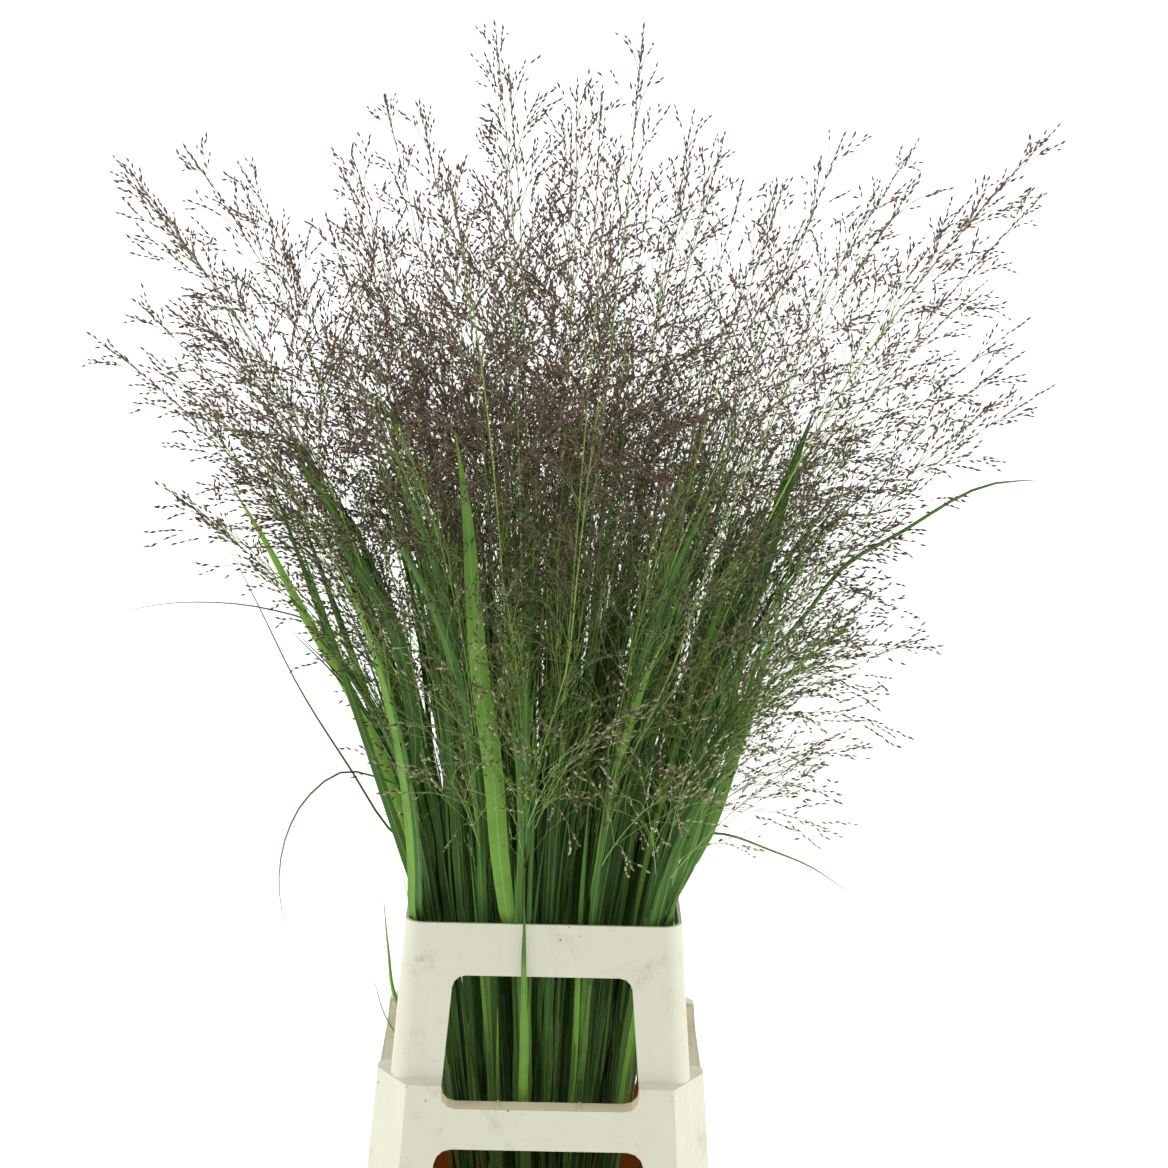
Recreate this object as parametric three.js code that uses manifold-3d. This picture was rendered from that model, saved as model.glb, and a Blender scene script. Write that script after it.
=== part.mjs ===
// Cut switchgrass standing in a flower-trade bucket with a windowed collar.
// Millimetres, +Z up, origin at the centre of the bucket's base, front towards -Y.
import * as THREE from 'three';
import { mergeVertices } from 'three/addons/utils/BufferGeometryUtils.js';
import Module from 'manifold-3d';

const wasm = await Module();
wasm.setup();

// Collar: one moulding, a skirt with cut corners under a smaller tube with round corners
const LEDGE_Z = 270;
const RIM_Z = LEDGE_Z + 133.2;
const TUBE_FOOT_RISE = 2.5;
const TUBE_HALF_AT_RIM = 115.1;
const TUBE_HALF_AT_FOOT = 125.5;
const TUBE_CORNER_RADIUS = 18;
const SKIRT_HALF = 137.3;
const SKIRT_FLAT_X = 110.9;
const SKIRT_FLAT_Y = 94.7;
const SKIRT_HEIGHT = 125;
const SKIRT_DRAFT = 0.082;
const WALL = 3;

// Windows: an upper one that breaks through the shoulder and a lower one in the skirt, on each side
const UPPER_WINDOW = {
  top: 89.6, bottom: -19.3, halfTop: 74, halfBottom: 83.5, cornerTop: 10, cornerBottom: 13,
};
const LOWER_WINDOW = {
  top: -53.5, bottom: -104, halfTop: 86, halfBottom: 91, cornerTop: 13, cornerBottom: 10,
};
const CORNER_PULL = 0.45;
const SILL_DEPTH = 15;
const SILL_THICKNESS = 2.5;
const SILL_RIB_X = [-35, 33];
const SILL_RIB_WIDTH = 1.6;
const SILL_RIB_HEIGHT = 1;

// Bucket: a plain tub that carries the collar on a flange round its mouth
const GAP = 0.3;
const BUCKET_BASE_HALF = 122;
const FLANGE_THICKNESS = 4;
const FLANGE_PROUD = 3;
const LIP_HEIGHT = 14;
const FLOOR = 3;
const TUB_INSET = 5.5;
const WATER_DEPTH = 58;

// Stems: laid out round a golden-angle spiral, close together at the foot and fanned out above the rim
const STEMS = 42;
const SPIRAL_START = THREE.MathUtils.degToRad(75);
const GOLDEN_ANGLE = Math.PI * (3 - Math.sqrt(5));
const SQUARENESS = 0.6;
const STEM_FOOT_Z = FLOOR + GAP;
const FOOT_HALF = 52;
const RIM_HALF = 108;
const FAN = 170;
const FAN_LENGTH = 700;
const FAN_DEPTH = 0.9;
const FAN_DEPTH_RISE = 2;
const LEAN = 22;
const LEAN_RISE = 1.2;
const OUTER_RING = 0.8;
const CULM_RADIUS_FOOT = 1.8;
const CULM_RADIUS_NECK = 0.9;
const CULM_RADIUS_TIP = 0.5;
const CULM_STEPS = 6;
const CULM_SIDES = 3;

// Outer stems take turns: tall and upright, arching, and low and well out
const OUTER_KINDS = [
  { top: 890, bend: 1, panicle: 330 },
  { top: 1015, bend: 0.24, panicle: 350 },
  { top: 745, bend: 2.9, panicle: 220 },
];
const OUTER_TOP_SPREAD = 60;
const BEND_SPREAD = 0.16;

// Blades: half widths at their stations from root to tip
const BLADES_PER_STEM = 3;
const BLADE_STATIONS = [0, 0.06, 0.4, 0.75, 1];
const BLADE_HALF_WIDTHS = [0.6, 4.2, 5, 3.6, 0];
const BLADE_KEEL = 1;
const BLADE_STANDOFF = 3.8;
const BLADE_CELL = 0.06;
const BLADE_SHORTEST = 260;
const BLADE_SPREAD = 160;
const BLADE_NARROWEST = 0.85;
const BLADE_WIDTH_SPREAD = 0.3;
const BLADE_TURN = 0.4 * Math.PI;
const BLADE_TURN_SPREAD = 1.2 * Math.PI;
const BLADE_ROOT_LOWEST = 130;
const BLADE_ROOT_SPREAD = 340;
const BLADE_BELOW_TOP = 90;

// The blade that faces out on an outer stem grows from about the rim and arches
const FREE_BLADE = {
  rootLowest: RIM_Z - 35, rootSpread: 140, reach: 0.15, reachSpread: 0.2, droop: 0.1, droopSpread: 0.35,
};

// Long leaves that stand out of the bunch: the stem they grow on (counted from 0), the height of
// their root, half width, how blunt they end, whether they turn their flat to the front, and the
// points they run through
const LONG_LEAVES = [
  { stem: 40, rootZ: 425, half: 3.6, blunt: 3, flat: false,
    route: [[-132, 6, 446], [-169, 2, 503], [-212, -4, 573], [-250, -9, 651], [-284, -15, 720]] },
  { stem: 27, rootZ: 322, half: 5.8, blunt: 3, flat: true,
    route: [[-92, -16, 360], [-108.5, -20, 408], [-127, -26, 480], [-157, -35, 559],
      [-206, -45, 647], [-242, -53, 717], [-268, -60, 761]] },
  { stem: 35, rootZ: 500, half: 6, blunt: 5, flat: true,
    route: [[-110, -74, 545], [-117, -88, 600], [-127, -97, 648], [-154, -105, 692], [-182, -111, 731]] },
  { stem: 40, rootZ: 565, half: 1.8, blunt: 4, flat: false,
    route: [[-146, 12, 585], [-184, 12, 621], [-240, 14, 639], [-318, 20, 642], [-400, 25, 624]] },
  { stem: 27, rootZ: 480, half: 2, blunt: 4, flat: false,
    route: [[-116, -24, 492], [-143, -30, 504], [-171, -38, 511], [-205, -45, 486], [-219, -48, 458],
      [-225, -50, 425], [-224, -50, 399], [-208, -50, 349]] },
  { stem: 40, rootZ: 236, half: 2.6, blunt: 2, flat: true,
    route: [[-98, 0, 256], [-116, -6, 278], [-128, -9, 303], [-134, -12, 346], [-139, -14, 398]] },
  { stem: 35, rootZ: 236, half: 1.2, blunt: 2, flat: true,
    route: [[-88, -41, 248], [-113, -42, 266], [-132, -42, 292], [-147, -42, 339]] },
  { stem: 38, rootZ: 205, half: 6.2, blunt: 1, flat: true,
    route: [[-13, -92, 228], [-14, -111, 254], [-14, -119, 298], [-15, -122.4, 341], [-16, -121, 383],
      [-16, -119, 405], [-17, -118, 436]] },
  { stem: 38, rootZ: 362, half: 8.4, blunt: 4, flat: true,
    route: [[-26, -104, 390], [-36, -116, 450], [-44, -134, 540], [-55, -150, 616], [-62, -165, 690],
      [-67, -180, 755], [-77, -200, 825]] },
  { stem: 36, rootZ: 450, half: 2.6, blunt: 4, flat: false,
    route: [[125, -32, 460], [144, -38, 464], [192, -50, 453], [225, -56, 441], [266, -62, 414]] },
  { stem: 31, rootZ: 540, half: 2, blunt: 5, flat: true,
    route: [[150, 38, 566], [190, 40, 602], [222, 42, 640], [254, 44, 683], [297, 46, 710],
      [380, 48, 757], [424, 50, 761]] },
  { stem: 28, rootZ: 540, half: 7.6, blunt: 5, flat: true,
    route: [[128, -66, 575], [150, -70, 640], [170, -80, 690], [188, -94, 768], [209, -106, 838]] },
];

const LONG_LEAF_NECK = 0.6;

// Panicles: branches that each end in a spikelet
const INNER_TOP = 1150;
const INNER_TOP_SPREAD = 110;
const INNER_TOP_LEVEL = 0.3;
const INNER_TOP_FALL = 260;
const PANICLE_SHORTEST = 360;
const PANICLE_SPREAD = 80;
const BRANCHES = 7;
const BRANCH_LOWEST = 0.3;
const BRANCH_RADIUS = 0.45;
const BRANCH_SIDES = 3;
const BRANCH_SHORTEST = 45;
const BRANCH_SPREAD = 120;
const BRANCH_LENGTH_LEAST = 0.8;
const BRANCH_LENGTH_SPREAD = 0.4;
const BRANCH_ANGLE = 0.8;
const BRANCH_TRIES = 18;
const BRANCH_SWING = 0.35;
const SPIKELET_LENGTH = 5;
const SPIKELET_RADIUS = 0.95;
const SPIKELET_FOOT_RADIUS = 0.36;
const SPIKELET_WIDEST = 0.4;

// Clear room between neighbours
const BOX_SIZE = 8;
const BALL_STEP = 3;
const BLADE_BALL = 1.9;
const BRANCH_BALL = 1.2;
const JOIN_TOLERANCE = 0.1;
const HOLE_RADIUS = 2.4;
const HOLE_SIDES = 5;

const COLOURS = {
  collar: 0xdedac8,
  bucket: 0xdedac8,
  water: 0xa9bdb4,
  grass: 0x4f7f38,
};

// What each draw decides; those of blades and branches add the number of the blade or branch
const DRAWS = {
  top: 212, bend: 2, panicle: 3, turn: 10, reach: 20, droop: 30, length: 40, root: 50, width: 60, branch: 70,
};

// Repeatable draw between 0 and 1 for item i, quality k
function draw(i, k) {
  const value = Math.sin(i * 12.9898 + k * 78.233) * 43758.5453;
  return value - Math.floor(value);
}

// Solids and meshes

function toSolid(geometry) {
  const bare = geometry.clone();
  bare.deleteAttribute('normal');
  bare.deleteAttribute('uv');
  const merged = mergeVertices(bare, 1e-4);
  return new wasm.Manifold(new wasm.Mesh({
    numProp: 3,
    vertProperties: merged.attributes.position.array,
    triVerts: new Uint32Array(merged.index.array),
  }));
}

function toMesh(name, solid, colour, roughness = 0.6) {
  const made = solid.getMesh();
  const geometry = new THREE.BufferGeometry();
  geometry.setAttribute('position', new THREE.BufferAttribute(new Float32Array(made.vertProperties), 3));
  geometry.setIndex(new THREE.BufferAttribute(new Uint32Array(made.triVerts), 1));
  geometry.computeVertexNormals();
  const material = new THREE.MeshStandardMaterial({ color: colour, roughness, metalness: 0 });
  const mesh = new THREE.Mesh(geometry, material);
  mesh.name = name;
  return mesh;
}

// Joins rings of equal count into one closed body; a ring of one point closes it to a tip
function skin(rings) {
  const points = rings.flat();
  const starts = [];
  let count = 0;
  for (const ring of rings) {
    starts.push(count);
    count += ring.length;
  }
  const index = [];
  for (let r = 0; r + 1 < rings.length; r++) {
    const sides = Math.max(rings[r].length, rings[r + 1].length);
    for (let s = 0; s < sides; s++) {
      const next = (s + 1) % sides;
      const a = starts[r] + s;
      const b = starts[r] + next;
      if (rings[r + 1].length === 1) {
        index.push(a, b, starts[r + 1]);
      } else {
        const c = starts[r + 1] + s;
        const d = starts[r + 1] + next;
        index.push(a, b, c, b, d, c);
      }
    }
  }
  const last = rings.length - 1;
  for (let s = 1; s + 1 < rings[0].length; s++) index.push(0, s + 1, s);
  for (let s = 1; s + 1 < rings[last].length; s++) {
    index.push(starts[last], starts[last] + s, starts[last] + s + 1);
  }
  const geometry = new THREE.BufferGeometry();
  geometry.setAttribute('position', new THREE.Float32BufferAttribute(points.flatMap((p) => p.toArray()), 3));
  geometry.setIndex(index);
  return toSolid(geometry);
}

// Container

function roundedSquare(half, radius) {
  const shape = new THREE.Shape();
  shape.moveTo(half - radius, -half);
  shape.absarc(half - radius, -half + radius, radius, -Math.PI / 2, 0);
  shape.absarc(half - radius, half - radius, radius, 0, Math.PI / 2);
  shape.absarc(-half + radius, half - radius, radius, Math.PI / 2, Math.PI);
  shape.absarc(-half + radius, -half + radius, radius, Math.PI, 1.5 * Math.PI);
  return shape;
}

function cutCornerSquare(half) {
  const grow = half / SKIRT_HALF;
  const shape = new THREE.Shape();
  shape.moveTo(SKIRT_FLAT_X * grow, -half);
  shape.lineTo(half, -SKIRT_FLAT_Y * grow);
  shape.lineTo(half, SKIRT_FLAT_Y * grow);
  shape.lineTo(SKIRT_FLAT_X * grow, half);
  shape.lineTo(-SKIRT_FLAT_X * grow, half);
  shape.lineTo(-half, SKIRT_FLAT_Y * grow);
  shape.lineTo(-half, -SKIRT_FLAT_Y * grow);
  shape.lineTo(-SKIRT_FLAT_X * grow, -half);
  return shape;
}

// A prism on `shape` from z0 up to z1, scaled in plan from 1 at z0 to `topScale` at z1
function drafted(shape, z0, z1, topScale) {
  const geometry = new THREE.ExtrudeGeometry(shape, {
    depth: z1 - z0, bevelEnabled: false, curveSegments: 4,
  });
  const position = geometry.attributes.position;
  for (let i = 0; i < position.count; i++) {
    const rise = position.getZ(i) / (z1 - z0);
    const scale = 1 + (topScale - 1) * rise;
    position.setXYZ(i, position.getX(i) * scale, position.getY(i) * scale, z0 + position.getZ(i));
  }
  return toSolid(geometry);
}

function windowShape(w, grow) {
  const corners = [
    [-w.halfBottom - grow, w.bottom - grow, w.cornerBottom + grow],
    [w.halfBottom + grow, w.bottom - grow, w.cornerBottom + grow],
    [w.halfTop + grow, w.top + grow, w.cornerTop + grow],
    [-w.halfTop - grow, w.top + grow, w.cornerTop + grow],
  ];
  const shape = new THREE.Shape();
  corners.forEach(([x, z, radius], i) => {
    const [px, pz] = corners[(i + 3) % 4];
    const [nx, nz] = corners[(i + 1) % 4];
    const back = new THREE.Vector2(px - x, pz - z).setLength(radius);
    const on = new THREE.Vector2(nx - x, nz - z).setLength(radius);
    if (i === 0) shape.moveTo(x + back.x, z + back.y);
    else shape.lineTo(x + back.x, z + back.y);
    shape.bezierCurveTo(
      x + back.x * CORNER_PULL, z + back.y * CORNER_PULL,
      x + on.x * CORNER_PULL, z + on.y * CORNER_PULL,
      x + on.x, z + on.y,
    );
  });
  return shape;
}

// A window outline pushed through a wall, from y = near to y = far, heights counted from the ledge
function windowPrism(w, grow, near, far) {
  const geometry = new THREE.ExtrudeGeometry(windowShape(w, grow), {
    depth: far - near, bevelEnabled: false, curveSegments: 3,
  });
  geometry.rotateX(Math.PI / 2);
  geometry.translate(0, far, LEDGE_Z);
  return toSolid(geometry);
}

function box(x0, x1, y0, y1, z0, z1) {
  const geometry = new THREE.BoxGeometry(x1 - x0, y1 - y0, z1 - z0);
  geometry.translate((x0 + x1) / 2, (y0 + y1) / 2, (z0 + z1) / 2);
  return toSolid(geometry);
}

const SKIRT_BOTTOM_Z = LEDGE_Z - SKIRT_HEIGHT;
const SKIRT_HALF_BOTTOM = SKIRT_HALF + SKIRT_HEIGHT * SKIRT_DRAFT;
const REACH_OUT = SKIRT_HALF_BOTTOM + 2;
const WINDOW_INNER_END = 60;

// The part of a window's lip below the ledge, with the two small ribs that stand on its sill
function makeSill() {
  const near = -SKIRT_HALF + WALL / 2;
  const far = -SKIRT_HALF + WALL + SILL_DEPTH;
  const sillZ = LEDGE_Z + UPPER_WINDOW.bottom;
  const above = box(-REACH_OUT, REACH_OUT, -REACH_OUT, 0, LEDGE_Z - WALL / 2, RIM_Z);
  const lip = windowPrism(UPPER_WINDOW, SILL_THICKNESS, near, far).subtract(above);
  const ribs = SILL_RIB_X.map((x) => box(
    x - SILL_RIB_WIDTH / 2, x + SILL_RIB_WIDTH / 2, near, far, sillZ - 1, sillZ + SILL_RIB_HEIGHT,
  ));
  return { lip, ribs };
}

function makeCollar() {
  const footZ = LEDGE_Z + TUBE_FOOT_RISE;
  const tubeTopScale = TUBE_HALF_AT_RIM / TUBE_HALF_AT_FOOT;
  const boreHalf = TUBE_HALF_AT_FOOT - WALL;
  const boreTopScale = (TUBE_HALF_AT_RIM - WALL) / boreHalf;
  const tube = drafted(
    roundedSquare(TUBE_HALF_AT_FOOT, TUBE_CORNER_RADIUS), LEDGE_Z - 1, RIM_Z, tubeTopScale,
  );
  const bore = drafted(
    roundedSquare(boreHalf, TUBE_CORNER_RADIUS - WALL), LEDGE_Z - WALL - 1, RIM_Z + 1, boreTopScale,
  );
  const hollowHalf = SKIRT_HALF_BOTTOM - WALL;
  const skirt = drafted(
    cutCornerSquare(SKIRT_HALF_BOTTOM), SKIRT_BOTTOM_Z, LEDGE_Z, SKIRT_HALF / SKIRT_HALF_BOTTOM,
  );
  const hollow = drafted(
    cutCornerSquare(hollowHalf), SKIRT_BOTTOM_Z - 1, LEDGE_Z - WALL, (SKIRT_HALF - WALL) / hollowHalf,
  );
  const shoulder = drafted(
    cutCornerSquare(SKIRT_HALF), LEDGE_Z, footZ, (TUBE_HALF_AT_FOOT + 1) / SKIRT_HALF,
  );
  const { lip, ribs } = makeSill();
  const windows = windowPrism(UPPER_WINDOW, 0, -REACH_OUT, -WINDOW_INNER_END)
    .add(windowPrism(LOWER_WINDOW, 0, -REACH_OUT, -WINDOW_INNER_END));

  let collar = skirt.add(shoulder).add(tube).subtract(hollow).subtract(bore);
  for (let side = 0; side < 4; side++) {
    const turn = [0, 0, side * 90];
    collar = collar.add(lip.rotate(turn)).subtract(windows.rotate(turn));
    for (const rib of ribs) collar = collar.add(rib.rotate(turn));
  }
  return collar;
}

const FLANGE_TOP_Z = SKIRT_BOTTOM_Z - GAP;
const LIP_TOP_Z = FLANGE_TOP_Z + LIP_HEIGHT;
const TUB_HALF_AT_FLANGE = SKIRT_HALF_BOTTOM - TUB_INSET;
const CAVITY_HALF_AT_FLOOR = BUCKET_BASE_HALF - WALL;
const CAVITY_HALF_AT_LIP = TUB_HALF_AT_FLANGE - WALL;

// Half width of the tub's inside at height z
function cavityHalf(z) {
  const rise = (z - FLOOR) / (LIP_TOP_Z - FLOOR);
  return CAVITY_HALF_AT_FLOOR + (CAVITY_HALF_AT_LIP - CAVITY_HALF_AT_FLOOR) * rise;
}

function makeBucket() {
  const flangeHalf = SKIRT_HALF_BOTTOM + FLANGE_PROUD;
  const lipHalf = SKIRT_HALF_BOTTOM - WALL - 2 * GAP;
  const lipTopHalf = lipHalf - LIP_HEIGHT * SKIRT_DRAFT;
  const tub = drafted(
    cutCornerSquare(BUCKET_BASE_HALF), 0, FLANGE_TOP_Z, TUB_HALF_AT_FLANGE / BUCKET_BASE_HALF,
  );
  const flange = drafted(cutCornerSquare(flangeHalf), FLANGE_TOP_Z - FLANGE_THICKNESS, FLANGE_TOP_Z, 1);
  const lip = drafted(cutCornerSquare(lipHalf), FLANGE_TOP_Z - 1, LIP_TOP_Z, lipTopHalf / lipHalf);
  const cavityTop = LIP_TOP_Z + 1;
  const cavity = drafted(
    cutCornerSquare(CAVITY_HALF_AT_FLOOR), FLOOR, cavityTop, cavityHalf(cavityTop) / CAVITY_HALF_AT_FLOOR,
  );
  return tub.add(flange).add(lip).subtract(cavity);
}

// Stems

// Half width of the bunch at height z: straight up to the rim, opening out ever faster above it
function bunchHalf(z) {
  const above = Math.max(0, (z - RIM_Z) / FAN_LENGTH);
  const straight = FOOT_HALF + (RIM_HALF - FOOT_HALF) * (z - STEM_FOOT_Z) / (RIM_Z - STEM_FOOT_Z);
  return straight + FAN * above * above;
}

// Where stem i stands in the bunch, and how tall it is
function layOut(i) {
  const spread = Math.sqrt((i + 0.5) / STEMS);
  const turn = SPIRAL_START + i * GOLDEN_ANGLE;
  const c = Math.cos(turn);
  const s = Math.sin(turn);
  const square = 1 + SQUARENESS * (1 / Math.max(Math.abs(c), Math.abs(s)) - 1);
  const outer = spread > OUTER_RING;
  const kind = OUTER_KINDS[i % OUTER_KINDS.length];
  const innerTop = INNER_TOP - INNER_TOP_FALL * Math.max(0, spread - INNER_TOP_LEVEL);
  return {
    i,
    turn,
    outer,
    across: spread * c * square,
    deep: spread * s * square,
    bend: outer ? kind.bend + BEND_SPREAD * draw(i, DRAWS.bend) : 0,
    top: outer
      ? kind.top + OUTER_TOP_SPREAD * (draw(i, DRAWS.top) - 0.5)
      : innerTop - INNER_TOP_SPREAD * draw(i, DRAWS.top),
    panicle: (outer ? kind.panicle : PANICLE_SHORTEST) + PANICLE_SPREAD * draw(i, DRAWS.panicle),
  };
}

// The point at height z, `off` bunch half widths from a stem's place towards `azimuth`
function inBunch(stem, z, off, azimuth) {
  const above = Math.max(0, (z - RIM_Z) / FAN_LENGTH);
  const bow = 1 + stem.bend * above * above;
  const half = bunchHalf(z);
  const depth = 1 - (1 - FAN_DEPTH) * Math.min(1, FAN_DEPTH_RISE * above);
  const lean = LEAN * Math.min(1, LEAN_RISE * above);
  return new THREE.Vector3(
    (stem.across * bow + off * Math.cos(azimuth)) * half + lean,
    (stem.deep * bow + off * Math.sin(azimuth)) * half * depth,
    z,
  );
}

// The straight lengths that a culm is made of, from its foot to its top
function culmPoints(stem) {
  const points = [inBunch(stem, STEM_FOOT_Z, 0, 0)];
  for (let k = 0; k <= CULM_STEPS; k++) {
    points.push(inBunch(stem, RIM_Z + (stem.top - RIM_Z) * (k / CULM_STEPS), 0, 0));
  }
  return points;
}

// The point on a culm at height z, moved off it by `off` bunch half widths towards `azimuth`
function onStem(stem, z, off = 0, azimuth = 0) {
  const k = stem.line.findIndex((p, n) => n > 0 && (p.z >= z || n === stem.line.length - 1));
  const [from, to] = [stem.line[k - 1], stem.line[k]];
  const onCulm = from.clone().lerp(to, (z - from.z) / (to.z - from.z));
  if (off === 0) return onCulm;
  return onCulm.add(inBunch(stem, z, off, azimuth)).sub(inBunch(stem, z, 0, 0));
}

// A ring of points round `centre`, square to `along`
function ring(centre, along, radius, sides) {
  const u = new THREE.Vector3(1, 0, 0).addScaledVector(along, -along.x).normalize();
  const v = new THREE.Vector3().crossVectors(along, u);
  return Array.from({ length: sides }, (_, s) => {
    const a = (2 * Math.PI * s) / sides;
    return centre.clone().addScaledVector(u, radius * Math.cos(a)).addScaledVector(v, radius * Math.sin(a));
  });
}

function directions(points) {
  return points.map((_, k) => {
    const from = points[Math.max(0, k - 1)];
    const to = points[Math.min(points.length - 1, k + 1)];
    return new THREE.Vector3().subVectors(to, from).normalize();
  });
}

// A round rod through `points`, drawn out to a point at its end
function rod(points, radii, sides) {
  const along = directions(points);
  const last = points.length - 1;
  return skin(points.map((p, k) => (k === last ? [p] : ring(p, along[k], radii[k], sides))));
}

// Points and radii of the spikelet that ends a branch running into `end` along `way`
function spikelet(end, way) {
  return {
    points: [0, SPIKELET_WIDEST, 1].map((part) => end.clone().addScaledVector(way, part * SPIKELET_LENGTH)),
    radii: [SPIKELET_FOOT_RADIUS, SPIKELET_RADIUS, 0],
  };
}

function culmRadius(stem, z) {
  const neck = stem.top - stem.panicle;
  if (z < neck) return THREE.MathUtils.mapLinear(z, STEM_FOOT_Z, neck, CULM_RADIUS_FOOT, CULM_RADIUS_NECK);
  return THREE.MathUtils.mapLinear(z, neck, stem.top, CULM_RADIUS_NECK, CULM_RADIUS_TIP);
}

function makeCulm(stem) {
  const points = stem.line;
  const radii = points.map((p) => culmRadius(stem, p.z));
  const last = points.length - 1;
  const way = new THREE.Vector3().subVectors(points[last], points[last - 1]).normalize();
  const tip = spikelet(points[last], way);
  return rod([...points.slice(0, last), ...tip.points], [...radii.slice(0, last), ...tip.radii], CULM_SIDES);
}

// A blade through `points`, flat above with a keel below; `side` points across it
function bladeSolid(points, halfWidths, side) {
  const along = directions(points);
  const last = points.length - 1;
  return skin(points.map((p, k) => {
    if (k === last) return [p];
    const up = new THREE.Vector3().crossVectors(along[k], side).normalize();
    return [
      p.clone().addScaledVector(side, halfWidths[k]),
      p.clone().addScaledVector(side, -halfWidths[k]),
      p.clone().addScaledVector(up, -BLADE_KEEL),
    ];
  }));
}

// Blade b of a stem: rises beside the culm in the stem's own share of the bunch; on an outer stem
// the blade that faces out is free to arch. No blade outgrows its panicle
function bladeRoute(stem, b) {
  const free = stem.outer && b === 0;
  const chance = (what) => draw(stem.i, DRAWS[what] + b);
  const azimuth = stem.turn + (free ? 0 : BLADE_TURN + BLADE_TURN_SPREAD * chance('turn'));
  const reach = free ? FREE_BLADE.reach + FREE_BLADE.reachSpread * chance('reach') : BLADE_CELL;
  const droop = free ? FREE_BLADE.droop + FREE_BLADE.droopSpread * chance('droop') : 0;
  const rootZ = free
    ? FREE_BLADE.rootLowest + FREE_BLADE.rootSpread * chance('root')
    : BLADE_ROOT_LOWEST + BLADE_ROOT_SPREAD * ((b + chance('root')) / BLADES_PER_STEM);
  const length = Math.min(
    BLADE_SHORTEST + BLADE_SPREAD * chance('length'), stem.top - BLADE_BELOW_TOP - rootZ,
  );
  const breadth = BLADE_NARROWEST + BLADE_WIDTH_SPREAD * chance('width');
  const points = BLADE_STATIONS.map((t) => {
    const z = rootZ + length * (t - droop * t * t);
    const off = t === 0 ? 0 : BLADE_STANDOFF / bunchHalf(z) + reach * t * t;
    return onStem(stem, z, off, azimuth);
  });
  return {
    points,
    halfWidths: BLADE_HALF_WIDTHS.map((w) => w * breadth),
    side: new THREE.Vector3(-Math.sin(azimuth), Math.cos(azimuth), 0),
  };
}

function longLeafRoute(stem, leaf) {
  const points = [onStem(stem, leaf.rootZ), ...leaf.route.map((p) => new THREE.Vector3(...p))];
  const last = points.length - 1;
  const course = new THREE.Vector3().subVectors(points[last], points[0]).normalize();
  const facing = leaf.flat ? new THREE.Vector3(0, -1, 0) : new THREE.Vector3(0, 0, 1);
  return {
    points,
    halfWidths: points.map((_, k) => {
      const along = k / last;
      if (k === 0) return BLADE_HALF_WIDTHS[0];
      return leaf.half * Math.min(1, LONG_LEAF_NECK + along) * (1 - along ** leaf.blunt);
    }),
    side: new THREE.Vector3().crossVectors(course, facing).normalize(),
  };
}

// Branch j of a panicle; `turned` swings it round the stem until it runs clear
function branchRoute(stem, j, turned) {
  const neck = stem.top - stem.panicle;
  const rise = (j + BRANCH_LOWEST) / BRANCHES;
  const rootZ = neck + stem.panicle * rise;
  const root = onStem(stem, rootZ);
  const along = new THREE.Vector3().subVectors(onStem(stem, rootZ + SPIKELET_LENGTH), root).normalize();
  const azimuth = j * GOLDEN_ANGLE + stem.turn + turned;
  const out = new THREE.Vector3(Math.cos(azimuth), Math.sin(azimuth), 0);
  const length = (BRANCH_SHORTEST + BRANCH_SPREAD * (1 - rise))
    * (BRANCH_LENGTH_LEAST + BRANCH_LENGTH_SPREAD * draw(stem.i, DRAWS.branch + j));
  const way = along.clone().multiplyScalar(Math.cos(BRANCH_ANGLE))
    .addScaledVector(out, Math.sin(BRANCH_ANGLE)).normalize();
  const end = root.clone().addScaledVector(way, length);
  const tip = spikelet(end, way);
  return { points: [root, ...tip.points], radii: [BRANCH_RADIUS, ...tip.radii] };
}

// Room already taken by the stems, kept as small balls sorted into boxes
class Taken {
  constructor() {
    this.boxes = new Map();
  }

  key(x, y, z) {
    return `${Math.floor(x / BOX_SIZE)},${Math.floor(y / BOX_SIZE)},${Math.floor(z / BOX_SIZE)}`;
  }

  add(balls, owner) {
    for (const { p, r } of balls) {
      const key = this.key(p.x, p.y, p.z);
      if (!this.boxes.has(key)) this.boxes.set(key, []);
      this.boxes.get(key).push({ p, r, owner });
    }
  }

  blocks(balls, owner) {
    const steps = [-BOX_SIZE, 0, BOX_SIZE];
    for (const { p, r } of balls) {
      for (const x of steps) for (const y of steps) for (const z of steps) {
        for (const other of this.boxes.get(this.key(p.x + x, p.y + y, p.z + z)) ?? []) {
          if (other.owner !== owner && other.p.distanceTo(p) < other.r + r) return true;
        }
      }
    }
    return false;
  }
}

// Balls strung along a route, over the whole width where it is a blade
function ballsAlong(points, radius, halfWidths, side) {
  const balls = [];
  for (let k = 0; k + 1 < points.length; k++) {
    const steps = Math.ceil(points[k].distanceTo(points[k + 1]) / BALL_STEP);
    for (let n = 0; n <= steps; n++) {
      const p = points[k].clone().lerp(points[k + 1], n / steps);
      if (!side) {
        balls.push({ p, r: radius });
        continue;
      }
      const half = THREE.MathUtils.lerp(halfWidths[k], halfWidths[k + 1], n / steps);
      for (const part of [-1, -0.5, 0, 0.5, 1]) {
        balls.push({ p: p.clone().addScaledVector(side, part * half), r: radius });
      }
    }
  }
  return balls;
}

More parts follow.
